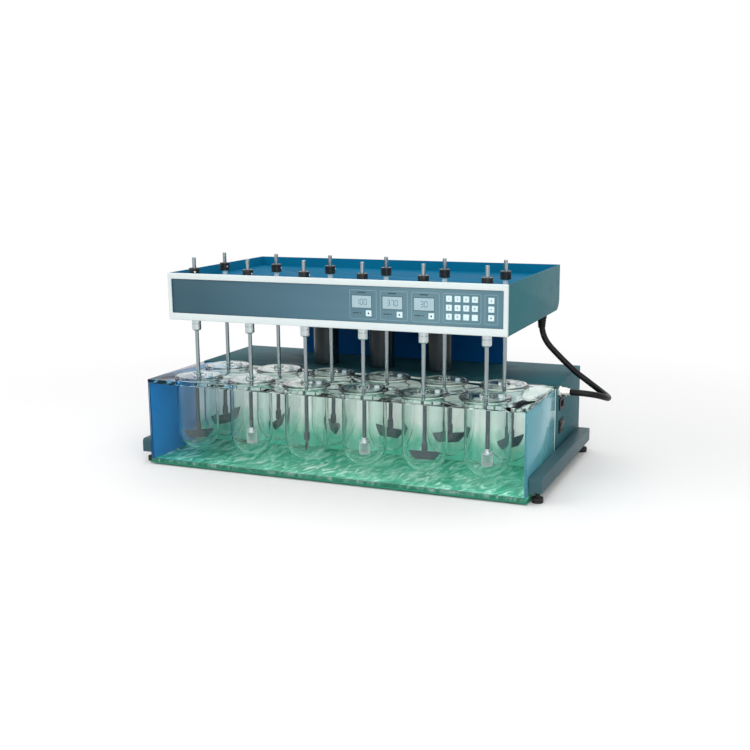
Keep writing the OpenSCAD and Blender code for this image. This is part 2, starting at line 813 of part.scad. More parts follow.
module lift_screw() {
    color("lightgray") translate([0, column_y, 0]) {
        translate([0, 0, screw_z]) cylinder(d = screw_d, h = screw_top - screw_z, $fn = fine);
        translate([0, 0, screw_neck_z])
            cylinder(d = screw_neck_d, h = screw_z - screw_neck_z + eps, $fn = small);
    }
}

// Power inlet with three contacts, and the frame of the rocker switch
module power_entry() {
    f = entry_flange_t;
    color("black") {
        translate(inlet_at) {
            difference() {
                union() {
                    block([0, -inlet_w / 2, -inlet_h / 2], [f, inlet_w / 2, inlet_h / 2]);
                    block([-entry_depth, -inlet_y, -inlet_zz], [eps, inlet_y, inlet_zz]);
                }
                block([-socket_depth, -socket_y, -socket_z], [f + eps, socket_y, socket_z]);
            }
            for (y = [-contact_pitch, 0, contact_pitch])
                block([-socket_depth - eps, y - contact_t / 2, -contact_h / 2],
                      [-contact_set, y + contact_t / 2, contact_h / 2]);
        }
        translate(rocker_at) difference() {
            union() {
                block([0, -rocker_frame_w / 2, -rocker_frame_h / 2],
                      [f, rocker_frame_w / 2, rocker_frame_h / 2]);
                block([-entry_depth, -rocker_y, -rocker_zz], [eps, rocker_y, rocker_zz]);
            }
            block([-entry_depth + rocker_floor, -rocker_w / 2 - rocker_clear,
                   -rocker_r - rocker_clear],
                  [f + eps, rocker_w / 2 + rocker_clear, rocker_r + rocker_clear]);
            translate([rocker_pin_x - tank_hx, -rocker_w / 2 - rocker_pin_l, 0])
                along_y(rocker_pin_d + 2 * rocker_pin_clear, rocker_w + 2 * rocker_pin_l);
        }
    }
}

module rocker_switch() {
    color("dimgray") translate([rocker_pin_x, rocker_at[1], rocker_at[2]])
        rotate([0, rocker_tilt, 0]) {
            translate([0, rocker_w / 2, 0]) rotate([90, 0, 0]) linear_extrude(rocker_w)
                intersection() {
                    circle(r = rocker_r, $fn = fine);
                    polygon([[-rocker_back, -rocker_r], [rocker_face + rocker_hollow, -rocker_r],
                             [rocker_face, 0], [rocker_face + rocker_hollow, rocker_r],
                             [-rocker_back, rocker_r]]);
                }
            translate([0, -rocker_w / 2 - rocker_pin_l + pin_end_gap, 0])
                along_y(rocker_pin_d, rocker_w + 2 * (rocker_pin_l - pin_end_gap));
        }
}

// Cable gland on the housing's side: hexagon nut, dome and sleeve on one threaded stub
module hose_gland() {
    color("gold") translate([tank_hx, gland_y, gland_z]) difference() {
        union() {
            translate([-gland_thread_l, 0, 0]) along_x(gland_thread_d, gland_len + gland_thread_l);
            rotate([0, 90, 0]) cylinder(d = gland_nut_w / cos(30), h = gland_nut_len, $fn = 6);
            along_x(gland_cap_d, gland_cap_len);
            along_x(gland_neck_d, gland_len);
        }
        translate([-gland_thread_l - eps, 0, 0])
            along_x(wire_bore, gland_len + gland_thread_l + 2 * eps);
    }
}

module head_gland() {
    color("black") translate([head_gland_at[0], head_gland_at[1], head_z - head_gland_h])
        ring(head_gland_d, wire_bore, head_gland_h);
}

// Sweeps a round section along the hose's points
function unit(v) = v / norm(v);
function hose_dir(i) =
    i == 0 ? [0, 0, -1] :
    i == len(hose_points) - 1 ? [-1, 0, 0] :
    unit(hose_points[i + 1] - hose_points[i - 1]);
hose_ref = [0.45, 0, 0.9];
function hose_side_dir(i) = unit(cross(hose_dir(i), hose_ref));
function hose_ring(i) =
    let (u = hose_side_dir(i), v = cross(hose_dir(i), u))
    [for (k = [0:hose_sides - 1])
        hose_points[i] + hose_d / 2 * (cos(360 * k / hose_sides) * u + sin(360 * k / hose_sides) * v)];

module cable_hose() {
    n = len(hose_points);
    m = hose_sides;
    points = [for (i = [0:n - 1]) each hose_ring(i)];
    walls = [for (i = [0:n - 2], k = [0:m - 1])
        let (a = i * m + k, b = i * m + (k + 1) % m)
        each [[a, b + m, b], [a, a + m, b + m]]];
    ends = concat([for (k = [1:m - 2]) [0, k, k + 1]],
                  [for (k = [1:m - 2]) [(n - 1) * m, (n - 1) * m + k + 1, (n - 1) * m + k]]);
    color("black") polyhedron(points, concat(walls, ends));
}

// The moving columns, bolted under the deck; the middle one carries the lift nut
module guide_columns() {
    color("silver") for (x = column_xs) {
        z0 = x == 0 ? nut_z : column_z;
        translate([x, column_y, 0]) {
            translate([0, 0, z0]) ring(column_d, column_d - 2 * column_wall, head_z - z0);
            translate([0, 0, head_z - column_flange_t])
                ring(sleeve_d, column_d, column_flange_t);
        }
    }
    color("goldenrod") translate([0, column_y, nut_z])
        ring(column_d - 2 * column_wall, screw_d + 2 * screw_clear, nut_h);
}

module head_deck() {
    boss_d = bearing_d + 2 * boss_wall;
    color("lightslategray") difference() {
        union() {
            block([-head_hx + head_sheet, head_y + bezel_t, head_z],
                  [head_hx - head_sheet, head_back_y - head_corner_r, deck_top]);
            at_spots() translate([0, 0, head_z]) cylinder(d = boss_d, h = deck_t + boss_h, $fn = fine);
        }
        at_spots() {
            translate([0, 0, head_z - eps])
                cylinder(d = quill_d + 2 * quill_gap, h = boss_h, $fn = fine);
            translate([0, 0, bearing_z])
                cylinder(d = bearing_d, h = deck_t + boss_h, $fn = fine);
        }
        translate([head_gland_at[0], head_gland_at[1], head_z - eps])
            cylinder(d = wire_bore, h = deck_t + 2 * eps, $fn = small);
    }
}

// Outline of the head's casing in Y and Z, with a round lower rear corner
module casing_outline(y0, y1, z0, z1, r) {
    difference() {
        translate([y0, z0]) square([y1 - y0, z1 - z0]);
        translate([y1 - r, z0 - eps]) square([r + eps, r + eps]);
    }
    translate([y1 - r, z0 + r]) circle(r = r, $fn = fine);
}

module head_casing() {
    s = head_sheet;
    y0 = head_y + bezel_t;
    color("cadetblue") difference() {
        extrude_x(-head_hx, head_hx)
            casing_outline(y0, head_back_y, head_z, head_top, head_corner_r);
        extrude_x(-head_hx + s, head_hx - s) {
            casing_outline(y0 - eps, head_back_y - s, head_z + s, head_top + eps,
                           head_corner_r - s);
            translate([y0 - eps, head_z - eps])
                square([head_back_y - head_corner_r - y0 + eps, head_corner_r]);
        }
    }
}

module head_top_tray() {
    s = head_sheet;
    low = [-head_hx + s, head_y + bezel_t, tray_floor_z - s];
    high = [head_hx - s, head_back_y - s, head_top];
    color("steelblue") difference() {
        block(low, high);
        block(low + [s, s, s], high + [-s, -s, eps]);
        at_spots() translate([0, 0, low[2] - eps])
            cylinder(d = neck_d + 2 * neck_gap, h = s + 2 * eps, $fn = small);
    }
}

module front_frame() {
    x = head_hx;
    color("whitesmoke") difference() {
        block([-x, head_y, head_z], [x, head_y + bezel_t, head_top]);
        block([-x + bezel_side, head_y - eps, head_z + bezel_bottom],
              [x - bezel_side, head_y + bezel_t + eps, head_top - bezel_top]);
        block([-x + bezel_side - panel_lap, panel_y, head_z + bezel_bottom - panel_lap],
              [x - bezel_side + panel_lap, head_y + bezel_t + eps, head_top - bezel_top + panel_lap]);
    }
}

module control_panel() {
    x = head_hx - bezel_side + panel_lap - panel_clear;
    low_z = head_z + bezel_bottom - panel_lap + panel_clear;
    top_z = head_top - bezel_top + panel_lap - panel_clear;
    hole = key_w + 2 * key_clear;
    color("slategray") {
        difference() {
            block([-x, panel_y, low_z], [x, panel_back, top_z]);
            for (place = key_spots) translate([place[0], 0, place[1]])
                block([-hole / 2, panel_y - eps, -hole / 2], [hole / 2, panel_back + eps, hole / 2]);
            for (place = window_spots) translate([place[0], 0, place[1]])
                block([-window_w / 2 - panel_clear, panel_y - eps, -window_h / 2 - panel_clear],
                      [window_w / 2 + panel_clear, panel_back + eps, window_h / 2 + panel_clear]);
        }
        // Posts that hold the circuit board
        for (x = [board_x + post_in, board_end_x - post_in],
             z = [board_z + post_in, board_end_z - post_in])
            translate([x, panel_back - eps, z]) along_y(post_d, board_gap + eps);
    }
}

// Circuit board with the three display modules and a switch behind each key
module display_board() {
    color("darkgreen") block([board_x, board_y, board_z], [board_end_x, board_y + board_t, board_end_z]);
    color("honeydew") for (place = window_spots) translate([place[0], 0, place[1]])
        block([-window_w / 2, panel_y, -window_h / 2], [window_w / 2, board_y, window_h / 2]);
    color("black") for (place = key_spots)
        translate([place[0], key_back + key_travel + switch_gap, place[1]])
            along_y(switch_d, board_y - key_back - key_travel - switch_gap);
}

module push_key(place) {
    rim = key_w / 2 + key_clear + key_rim;
    color("white") translate([place[0], 0, place[1]]) {
        block([-key_w / 2, panel_y - key_proud, -key_w / 2], [key_w / 2, key_back, key_w / 2]);
        block([-rim, key_back - key_rim_t, -rim], [rim, key_back, rim]);
    }
}

// The gearmotor that turns all twelve stirrers
module drive_motor() {
    color("gray") translate([motor_x, motor_y, 0]) difference() {
        translate([0, 0, deck_top]) cylinder(d = motor_d, h = boss_h, $fn = fine);
        translate([0, 0, boss_top - motor_hole])
            cylinder(d = motor_shaft_d + 2 * bearing_clear, h = motor_hole + eps, $fn = small);
    }
}

// A pulley with two grooves, drawn from its lower face
module pulley(bore_d) {
    difference() {
        union() {
            cylinder(r = belt_r, h = pulley_h, $fn = fine);
            for (i = [0, 1, 2]) translate([0, 0, i * belt_step])
                cylinder(r = belt_r + flange_over, h = flange_t, $fn = fine);
        }
        translate([0, 0, -eps]) cylinder(d = bore_d, h = pulley_h + 2 * eps, $fn = fine);
    }
}

module motor_pulley() {
    color("silver") translate([motor_x, motor_y, 0]) {
        translate([0, 0, pulley_z]) pulley(motor_shaft_d);
        translate([0, 0, shaft_z])
            cylinder(d = motor_shaft_d, h = pulley_z + pulley_h - shaft_z, $fn = small);
    }
}

// A belt round two pulleys, the second one a given distance away along X
module belt(distance) {
    linear_extrude(belt_w) difference() {
        belt_outline(distance, belt_r + belt_gap + belt_t);
        belt_outline(distance, belt_r + belt_gap);
    }
}

module belt_outline(distance, r) {
    circle(r = r, $fn = fine);
    translate([distance, 0]) circle(r = r, $fn = fine);
    translate([0, -r]) square([distance, 2 * r]);
}

// Belts step from spindle to spindle, on the lower and the upper groove in turn
module drive_belts() {
    last = len([for (i = positions) i]) - 1;
    color("darkslategray") {
        for (row = [0, 1], i = [0:last - 1])
            translate([spot(row, i)[0], spot(row, i)[1], belt_levels[i % 2]]) belt(pitch_x);
        translate([spot(0, last)[0], spot(0, last)[1], belt_levels[1]]) rotate(90) belt(pitch_y);
        translate([spot(1, 0)[0], spot(1, 0)[1], belt_levels[1]]) rotate(90) belt(motor_y - row_y[1]);
    }
}

module spindle_bearings() {
    color("silver") at_spots() {
        for (z = [bearing_z, boss_top - bearing_w]) translate([0, 0, z])
            ring(bearing_d, quill_d + 2 * bearing_clear, bearing_w);
    }
}

module paddle() {
    blade_mid = sqrt(blade_r * blade_r - blade_foot_w * blade_foot_w / 4);
    color("silver") {
        intersection() {
            translate([0, -blade_t / 2, stir_z + blade_mid]) along_y(2 * blade_r, blade_t, fine);
            block([-blade_r, -blade_t, stir_z], [blade_r, blade_t, stir_z + blade_h]);
        }
        translate([0, 0, stir_z + blade_h]) ring(hub_d, rod_d, stir_h - blade_h);
    }
}

module basket() {
    cup_top = stir_z + basket_cup_h;
    color("lightgray") {
        difference() {
            translate([0, 0, stir_z]) cylinder(d = basket_d, h = basket_cup_h + basket_cap_t, $fn = fine);
            translate([0, 0, stir_z + basket_wall])
                cylinder(d = basket_d - 2 * basket_wall, h = basket_cup_h - basket_wall, $fn = fine);
            translate([basket_vent_r, 0, cup_top - eps])
                cylinder(d = basket_vent_d, h = basket_cap_t + 2 * eps, $fn = small);
        }
        translate([0, 0, cup_top + basket_cap_t])
            ring(hub_d, rod_d, stir_h - basket_cup_h - basket_cap_t);
    }
}

// One stirring position: rod with its stirrer, hollow spindle, pulley, chuck and collar
module spindle(row, i) {
    has_basket = row == 0 && len([for (b = basket_places) if (b == i) b]) > 0;
    rod_foot = stir_z + (has_basket ? basket_cup_h + basket_cap_t : blade_h);
    neck_z = pulley_z + pulley_h;
    translate(spot(row, i)) {
        color("silver") translate([0, 0, rod_foot])
            cylinder(d = rod_d, h = rod_top - rod_foot, $fn = small);
        if (has_basket) basket();
        else paddle();
        color("silver") translate([0, 0, chuck_z]) difference() {
            cylinder(d = chuck_d, h = chuck_h, $fn = fine);
            translate([0, 0, -eps]) cylinder(d = rod_d, h = chuck_h, $fn = small);
            translate([0, 0, chuck_h - chuck_grip])
                cylinder(d = quill_d, h = chuck_grip + eps, $fn = fine);
        }
        color("whitesmoke") difference() {
            union() {
                translate([0, 0, chuck_top - chuck_grip])
                    cylinder(d = quill_d, h = neck_z - chuck_top + chuck_grip, $fn = fine);
                translate([0, 0, neck_z - eps])
                    cylinder(d = neck_d, h = collar_z - neck_z + eps, $fn = small);
            }
            translate([0, 0, chuck_top - chuck_grip - eps])
                cylinder(d = rod_d + 2 * rod_clear, h = collar_z - chuck_top + chuck_grip + 2 * eps,
                         $fn = small);
        }
        color("gray") translate([0, 0, pulley_z]) pulley(quill_d);
        color("black") translate([0, 0, collar_z]) ring(collar_d, rod_d, collar_h);
    }
}

base_frame();
rubber_feet();
tank_tray();
water_tank();
vessel_plate();
glass_vessels();
vessel_lids();
housing_cover();
housing_back_panel();
column_sleeves();
lift_shroud();
bath_circulator();
lift_motor();
lift_screw();
power_entry();
rocker_switch();
hose_gland();
cable_hose();
head_gland();
guide_columns();
head_deck();
head_casing();
head_top_tray();
front_frame();
control_panel();
display_board();
drive_motor();
motor_pulley();
drive_belts();
spindle_bearings();
for (row = [0, 1], i = positions)
    spindle(row, i);
for (i = [0:len(pad_key_names) - 1])
    push_key(pad_key_spots[i]);
for (i = [0:len(mode_key_names) - 1])
    push_key(mode_key_spots[i]);
for (i = [0:len(window_key_names) - 1])
    push_key(window_key_spots[i]);
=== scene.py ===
"""The tablet dissolution tester dressed for the camera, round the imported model."""
import json
import math

import bpy
from mathutils import Matrix, Vector

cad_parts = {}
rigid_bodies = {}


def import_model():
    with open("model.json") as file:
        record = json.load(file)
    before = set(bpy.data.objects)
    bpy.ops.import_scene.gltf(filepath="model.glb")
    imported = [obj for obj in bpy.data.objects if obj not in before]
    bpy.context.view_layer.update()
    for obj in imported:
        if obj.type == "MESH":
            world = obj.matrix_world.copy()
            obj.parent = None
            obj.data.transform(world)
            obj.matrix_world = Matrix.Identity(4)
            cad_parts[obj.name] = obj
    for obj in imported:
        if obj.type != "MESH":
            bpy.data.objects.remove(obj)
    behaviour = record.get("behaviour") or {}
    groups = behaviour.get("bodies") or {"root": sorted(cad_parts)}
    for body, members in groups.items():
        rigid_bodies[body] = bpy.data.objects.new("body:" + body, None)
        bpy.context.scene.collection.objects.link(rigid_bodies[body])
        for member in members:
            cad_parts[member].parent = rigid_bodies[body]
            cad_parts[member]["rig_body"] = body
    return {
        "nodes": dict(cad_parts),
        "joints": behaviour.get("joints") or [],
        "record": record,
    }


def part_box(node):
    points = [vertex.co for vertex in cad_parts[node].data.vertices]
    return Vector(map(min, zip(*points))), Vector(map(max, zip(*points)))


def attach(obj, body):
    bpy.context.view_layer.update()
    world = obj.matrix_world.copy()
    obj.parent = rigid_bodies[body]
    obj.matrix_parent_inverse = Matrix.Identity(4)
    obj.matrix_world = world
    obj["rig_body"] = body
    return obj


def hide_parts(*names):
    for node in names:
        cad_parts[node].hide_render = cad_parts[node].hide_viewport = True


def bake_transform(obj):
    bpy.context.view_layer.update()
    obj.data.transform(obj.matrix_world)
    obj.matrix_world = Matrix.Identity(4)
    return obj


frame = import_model()
nodes = frame["nodes"]
joints = {joint["name"]: joint for joint in frame["joints"]}
SLOTS = {part["node"]: part["material_slot"] for part in frame["record"]["subparts"]}
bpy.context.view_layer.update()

MM = 0.001
POSITIONS = [(row, place) for row in ("front", "back") for place in range(1, 7)]
BASKET_POSITIONS = {("front", 2), ("front", 4), ("front", 6)}
SAME_PLACE = 0.01 * MM
FLAT_ANGLE = 0.4
EDGE_ANGLE = 32
SHELL_EDGE_ANGLE = 35
TO_FRONT = Matrix.Rotation(math.pi / 2, 4, "X")
TO_BACK = Matrix.Rotation(-math.pi / 2, 4, "X")


def low(node):
    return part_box(node)[0]


def high(node):
    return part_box(node)[1]


def middle(node):
    lowest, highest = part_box(node)
    return (lowest + highest) / 2


def axis_of(row, place):
    """Where the axis of a stirring position stands."""
    return Vector(joints[f"spindle_{row}_{place}_spin"]["pos_m"])


def placed(name, data):
    """A new object in the scene for a mesh, a curve, a light or a camera."""
    piece = bpy.data.objects.new(name, data)
    bpy.context.scene.collection.objects.link(piece)
    return piece


# Camera: the photo's own, fitted to the edges of the head, the bath and the housing
CAMERA_AT = Vector((1.0681, -2.5225, 0.7489))
CAMERA_YAW = math.radians(22.55)
CAMERA_DOWN = math.radians(11.19)
CAMERA_ROLL = math.radians(-0.54)
FOCAL_MM = 52.4
SENSOR_MM = 36.0
SHIFT = (-0.0016, 0.0025)


def photo_camera():
    forward = Vector((-math.sin(CAMERA_YAW) * math.cos(CAMERA_DOWN),
                      math.cos(CAMERA_YAW) * math.cos(CAMERA_DOWN),
                      -math.sin(CAMERA_DOWN)))
    level = Vector((math.cos(CAMERA_YAW), math.sin(CAMERA_YAW), 0))
    upright = level.cross(forward)
    right = math.cos(CAMERA_ROLL) * level + math.sin(CAMERA_ROLL) * upright
    up = math.cos(CAMERA_ROLL) * upright - math.sin(CAMERA_ROLL) * level
    turn = Matrix((right, up, -forward)).transposed()
    data = bpy.data.cameras.new("photo_camera")
    data.lens = FOCAL_MM
    data.sensor_width = SENSOR_MM
    data.shift_x, data.shift_y = SHIFT
    data.clip_start, data.clip_end = 0.1, 50
    camera = placed("photo_camera", data)
    camera.matrix_world = Matrix.Translation(CAMERA_AT) @ turn.to_4x4()
    bpy.context.scene.camera = camera


# Modelling helpers
def deselect():
    bpy.ops.object.select_all(action="DESELECT")


def only(piece):
    deselect()
    piece.select_set(True)
    bpy.context.view_layer.objects.active = piece


def edit(piece):
    only(piece)
    bpy.ops.object.mode_set(mode="EDIT")
    bpy.ops.mesh.select_mode(type="VERT")
    bpy.ops.mesh.select_all(action="SELECT")


def leave_edit():
    bpy.ops.object.mode_set(mode="OBJECT")


def close_edit():
    """Ends an edit with every face looking outward."""
    bpy.ops.mesh.select_all(action="SELECT")
    bpy.ops.mesh.normals_make_consistent(inside=False)
    leave_edit()


def settle(piece):
    """Moves the object's place, turn and scale into its mesh."""
    only(piece)
    bpy.ops.object.transform_apply(location=True, rotation=True, scale=True)


def smooth(piece, angle=EDGE_ANGLE):
    only(piece)
    bpy.ops.object.shade_smooth_by_angle(angle=math.radians(angle))


def modified(piece, kind, **values):
    """Adds a modifier, sets it and applies it."""
    only(piece)
    modifier = piece.modifiers.new(kind.lower(), kind)
    for key, value in values.items():
        setattr(modifier, key, value)
    bpy.ops.object.modifier_apply(modifier=modifier.name)


def bevelled(piece, width, segments=2, angle=EDGE_ANGLE):
    """Rounds the edges that turn by more than an angle."""
    modified(piece, "BEVEL", width=width, segments=segments, limit_method="ANGLE",
             angle_limit=math.radians(angle))
    smooth(piece, angle)


def finish_with(piece, *materials):
    piece.data.materials.clear()
    for material in materials:
        piece.data.materials.append(material)


def dress(piece, body, slot, *materials):
    """Gives a finished piece its materials and the body that it rides on; its slot is not used."""
    finish_with(piece, *materials)
    piece.visible_shadow = materials[0] not in CLEAR
    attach(piece, body)


def copied(piece, name, offset, turn=0.0, about=(0, 0, 0)):
    """A copy with its own mesh, turned about an upright axis and then moved."""
    twin = placed(name, piece.data.copy())
    centre = Matrix.Translation(about)
    turned = centre @ Matrix.Rotation(turn, 4, "Z") @ centre.inverted()
    twin.data.transform(Matrix.Translation(offset) @ turned)
    return twin


def remove(piece):
    bpy.data.objects.remove(piece, do_unlink=True)


def joined(name, pieces):
    """Several meshes as one piece."""
    deselect()
    for piece in pieces:
        piece.select_set(True)
    bpy.context.view_layer.objects.active = pieces[0]
    bpy.ops.object.join()
    pieces[0].name = name
    return pieces[0]


def arc(centre, radius, first, last, count):
    """Points of an arc in a turned profile, angles in degrees from the axis of radius."""
    angles = [math.radians(first + (last - first) * i / count) for i in range(count + 1)]
    return [(centre[0] + radius * math.cos(a), centre[1] + radius * math.sin(a)) for a in angles]


def lathe(name, profile, place, steps, ring=False, turn=Matrix()):
    """Spins a profile of (radius, height) points, in metres, about an axis through place."""
    deselect()
    bpy.ops.mesh.primitive_plane_add(size=MM)
    piece = bpy.context.object
    piece.name = name
    edit(piece)
    bpy.ops.mesh.merge(type="CENTER")
    points = list(profile) + ([profile[0]] if ring else [])
    bpy.ops.transform.translate(value=(points[0][0], 0, points[0][1]))
    for (r0, z0), (r1, z1) in zip(points, points[1:]):
        bpy.ops.mesh.extrude_vertices_move(TRANSFORM_OT_translate={"value": (r1 - r0, 0, z1 - z0)})
    bpy.ops.mesh.select_all(action="SELECT")
    bpy.ops.mesh.spin(steps=steps, angle=2 * math.pi, center=(0, 0, 0), axis=(0, 0, 1))
    bpy.ops.mesh.select_all(action="SELECT")
    bpy.ops.mesh.remove_doubles(threshold=SAME_PLACE)
    close_edit()
    piece.data.transform(Matrix.Translation(place) @ turn)
    smooth(piece)
    return piece


def sleeve(inner, outer, low_z, high_z, cut):
    """Profile of a tube with chamfered outer edges, drawn as a closed ring."""
    return [(inner, low_z), (outer - cut, low_z), (outer, low_z + cut),
            (outer, high_z - cut), (outer - cut, high_z), (inner, high_z)]


def slab(name, lowest, highest, cut):
    """A block between two corners with rounded edges."""
    lowest, highest = Vector(lowest), Vector(highest)
    deselect()
    bpy.ops.mesh.primitive_cube_add(size=1, location=(lowest + highest) / 2)
    piece = bpy.context.object
    piece.name = name
    piece.scale = highest - lowest
    settle(piece)
    bevelled(piece, cut)
    return piece


def softened(node, width, material, segments=2):
    """A CAD node's own shape with its triangles merged and its sharp edges broken."""
    source = nodes[node]
    piece = placed(node + "_shell", source.data.copy())
    edit(piece)
    bpy.ops.mesh.remove_doubles(threshold=SAME_PLACE)
    bpy.ops.mesh.dissolve_limited(angle_limit=math.radians(FLAT_ANGLE))
    leave_edit()
    bevelled(piece, width, segments, SHELL_EDGE_ANGLE)
    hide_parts(node)
    dress(piece, source["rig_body"], SLOTS[node], material)
    return piece


# Shared surface effects
NOISE_LOW, NOISE_HIGH = 0.3, 0.7
GLOSS_SPREAD = 0.06
FINE_PATCHES = 9.0
COARSE_GRAIN, COARSE_SHARE = 0.3, 0.6
BRUSH_DEPTH = 0.006 * MM
WANDER_SCALE, SMEAR_SCALE = 45.0, 14.0


def feed(tree, socket, value):
    """Links another node's output to a socket, or sets the socket to a plain value."""
    if isinstance(value, bpy.types.NodeSocket):
        tree.links.new(value, socket)
    else:
        socket.default_value = value


def feed_colour(tree, vector, socket, colour):
    """A colour is three numbers, or a rule that makes it from the tree and the place."""
    feed(tree, socket, colour(tree, vector) if callable(colour) else (*colour, 1))


def group(name, inputs, outputs):
    """A node group whose sockets are given as pairs of a label and a kind."""
    tree = bpy.data.node_groups.new(name, "ShaderNodeTree")
    for side, sockets in (("INPUT", inputs), ("OUTPUT", outputs)):
        for label, kind in sockets:
            tree.interface.new_socket(label, in_out=side, socket_type="NodeSocket" + kind)
    return tree, tree.nodes.new("NodeGroupInput"), tree.nodes.new("NodeGroupOutput")


def noise(tree, vector, scale, detail=3.0, warp=0.0):
    node = tree.nodes.new("ShaderNodeTexNoise")
    node.inputs["Detail"].default_value = detail
    node.inputs["Distortion"].default_value = warp
    feed(tree, node.inputs["Scale"], scale)
    tree.links.new(vector, node.inputs["Vector"])
    return node.outputs["Fac"]


def maths(tree, operation, first, second):
    node = tree.nodes.new("ShaderNodeMath")
    node.operation = operation
    for socket, value in zip(node.inputs, (first, second)):
        feed(tree, socket, value)
    return node.outputs[0]


def mapped(tree, value, start, end, low_out=0.0, high_out=1.0):
    """Maps a range onto another and holds it at both ends."""
    node = tree.nodes.new("ShaderNodeMapRange")
    for label, bound in (("Value", value), ("From Min", start), ("From Max", end),
                         ("To Min", low_out), ("To Max", high_out)):
        feed(tree, node.inputs[label], bound)
    return node.outputs["Result"]


def spread(tree, value, low_out, high_out):
    """Maps the values that a noise takes most of the time onto a range."""
    return mapped(tree, value, NOISE_LOW, NOISE_HIGH, low_out, high_out)


def shaded(tree, colour, factor):
    """A colour made lighter or darker by a factor."""
    node = tree.nodes.new("ShaderNodeVectorMath")
    node.operation = "SCALE"
    tree.links.new(colour, node.inputs[0])
    tree.links.new(factor, node.inputs["Scale"])
    return node.outputs[0]


def along(tree, vector, axis, start, end, wander=0.0):
    """From 0 to 1 between two places on an axis, the edge wandering by a noise."""
    split = tree.nodes.new("ShaderNodeSeparateXYZ")
    tree.links.new(vector, split.inputs[0])
    place = split.outputs[axis]
    if wander:
        drift = maths(tree, "SUBTRACT", noise(tree, vector, WANDER_SCALE, 2.0), 0.5)
        place = maths(tree, "ADD", place, maths(tree, "MULTIPLY", drift, wander))
    return mapped(tree, place, start, end)


def stretched(tree, vector, scale, warp=0.0):
    """A noise drawn out into streaks along the axes whose scale is small."""
    node = tree.nodes.new("ShaderNodeVectorMath")
    node.operation = "MULTIPLY"
    tree.links.new(vector, node.inputs[0])
    feed(tree, node.inputs[1], scale)
    return noise(tree, node.outputs[0], 1.0, 3.0, warp)


def running(tree, factor, *stops):
    """A colour that runs through stops, each a place from 0 to 1 and a colour."""
    node = tree.nodes.new("ShaderNodeValToRGB")
    elements = node.color_ramp.elements
    for _ in stops[2:]:
        elements.new(0.5)
    for element, (place, colour) in zip(elements, stops):
        element.position = place
        element.color = (*colour, 1)
    tree.links.new(factor, node.inputs["Fac"])
    return node.outputs["Color"]


def uneven_finish():
    """Slow patches in colour and gloss, as handling and cleaning leave them."""
    tree, into, out = group(
        "Uneven finish",
        [("Vector", "Vector"), ("Color", "Color"), ("Patch size", "Float"),
         ("Colour spread", "Float"), ("Roughness", "Float")],
        [("Color", "Color"), ("Roughness", "Float")])
    slow = noise(tree, into.outputs["Vector"], into.outputs["Patch size"], 4.0)
    fast = noise(tree, into.outputs["Vector"],
                 maths(tree, "MULTIPLY", into.outputs["Patch size"], FINE_PATCHES), 2.0)
    tint = spread(tree, slow, maths(tree, "SUBTRACT", 1.0, into.outputs["Colour spread"]),
                  maths(tree, "ADD", 1.0, into.outputs["Colour spread"]))
    tree.links.new(shaded(tree, into.outputs["Color"], tint), out.inputs["Color"])
    gloss = spread(tree, maths(tree, "MULTIPLY", maths(tree, "ADD", slow, fast), 0.5),
                   maths(tree, "SUBTRACT", into.outputs["Roughness"], GLOSS_SPREAD),
                   maths(tree, "ADD", into.outputs["Roughness"], GLOSS_SPREAD))
    tree.links.new(gloss, out.inputs["Roughness"])
    return tree


def grain():
    """Fine bumps of a paint film, a moulded skin or a casting."""
    tree, into, out = group("Grain", [("Vector", "Vector"), ("Size", "Float")],
                            [("Height", "Float")])
    fine = noise(tree, into.outputs["Vector"], into.outputs["Size"], 2.0)
    coarse = noise(tree, into.outputs["Vector"],
                   maths(tree, "MULTIPLY", into.outputs["Size"], COARSE_GRAIN), 1.0)
    tree.links.new(maths(tree, "ADD", fine, maths(tree, "MULTIPLY", coarse, COARSE_SHARE)),
                   out.inputs["Height"])
    return tree


def brushed_lines():
    """Fine lines of a turned or brushed metal, drawn out along one direction."""
    tree, into, out = group(
        "Brushed lines",
        [("Vector", "Vector"), ("Stretch", "Vector"), ("Color", "Color"), ("Roughness", "Float")],
        [("Color", "Color"), ("Roughness", "Float"), ("Height", "Float")])
    lines = stretched(tree, into.outputs["Vector"], into.outputs["Stretch"])
    tree.links.new(shaded(tree, into.outputs["Color"], spread(tree, lines, 0.9, 1.06)),
                   out.inputs["Color"])
    tree.links.new(spread(tree, lines, maths(tree, "MULTIPLY", into.outputs["Roughness"], 0.7),
                          maths(tree, "MULTIPLY", into.outputs["Roughness"], 1.4)),
                   out.inputs["Roughness"])
    tree.links.new(lines, out.inputs["Height"])
    return tree


CLEAR = []
UNEVEN = uneven_finish()
GRAIN = grain()
BRUSHED = brushed_lines()


def new_material(name):
    """A material with its tree, its shader and the place of each point on the piece."""
    material = bpy.data.materials.new(name)
    material.use_nodes = True
    shader = material.node_tree.nodes["Principled BSDF"]
    coordinates = material.node_tree.nodes.new("ShaderNodeTexCoord")
    return material, material.node_tree, shader, coordinates.outputs["Object"]


def place_group(tree, kind, vector, **values):
    """A node group in a material, its inputs set by name with underscores for spaces."""
    node = tree.nodes.new("ShaderNodeGroup")
    node.node_tree = kind
    tree.links.new(vector, node.inputs["Vector"])
    for label, value in values.items():
        node.inputs[label.replace("_", " ")].default_value = value
    return node


def bump(tree, shader, height, distance):
    node = tree.nodes.new("ShaderNodeBump")
    node.inputs["Distance"].default_value = distance
    tree.links.new(height, node.inputs["Height"])
    tree.links.new(node.outputs["Normal"], shader.inputs["Normal"])


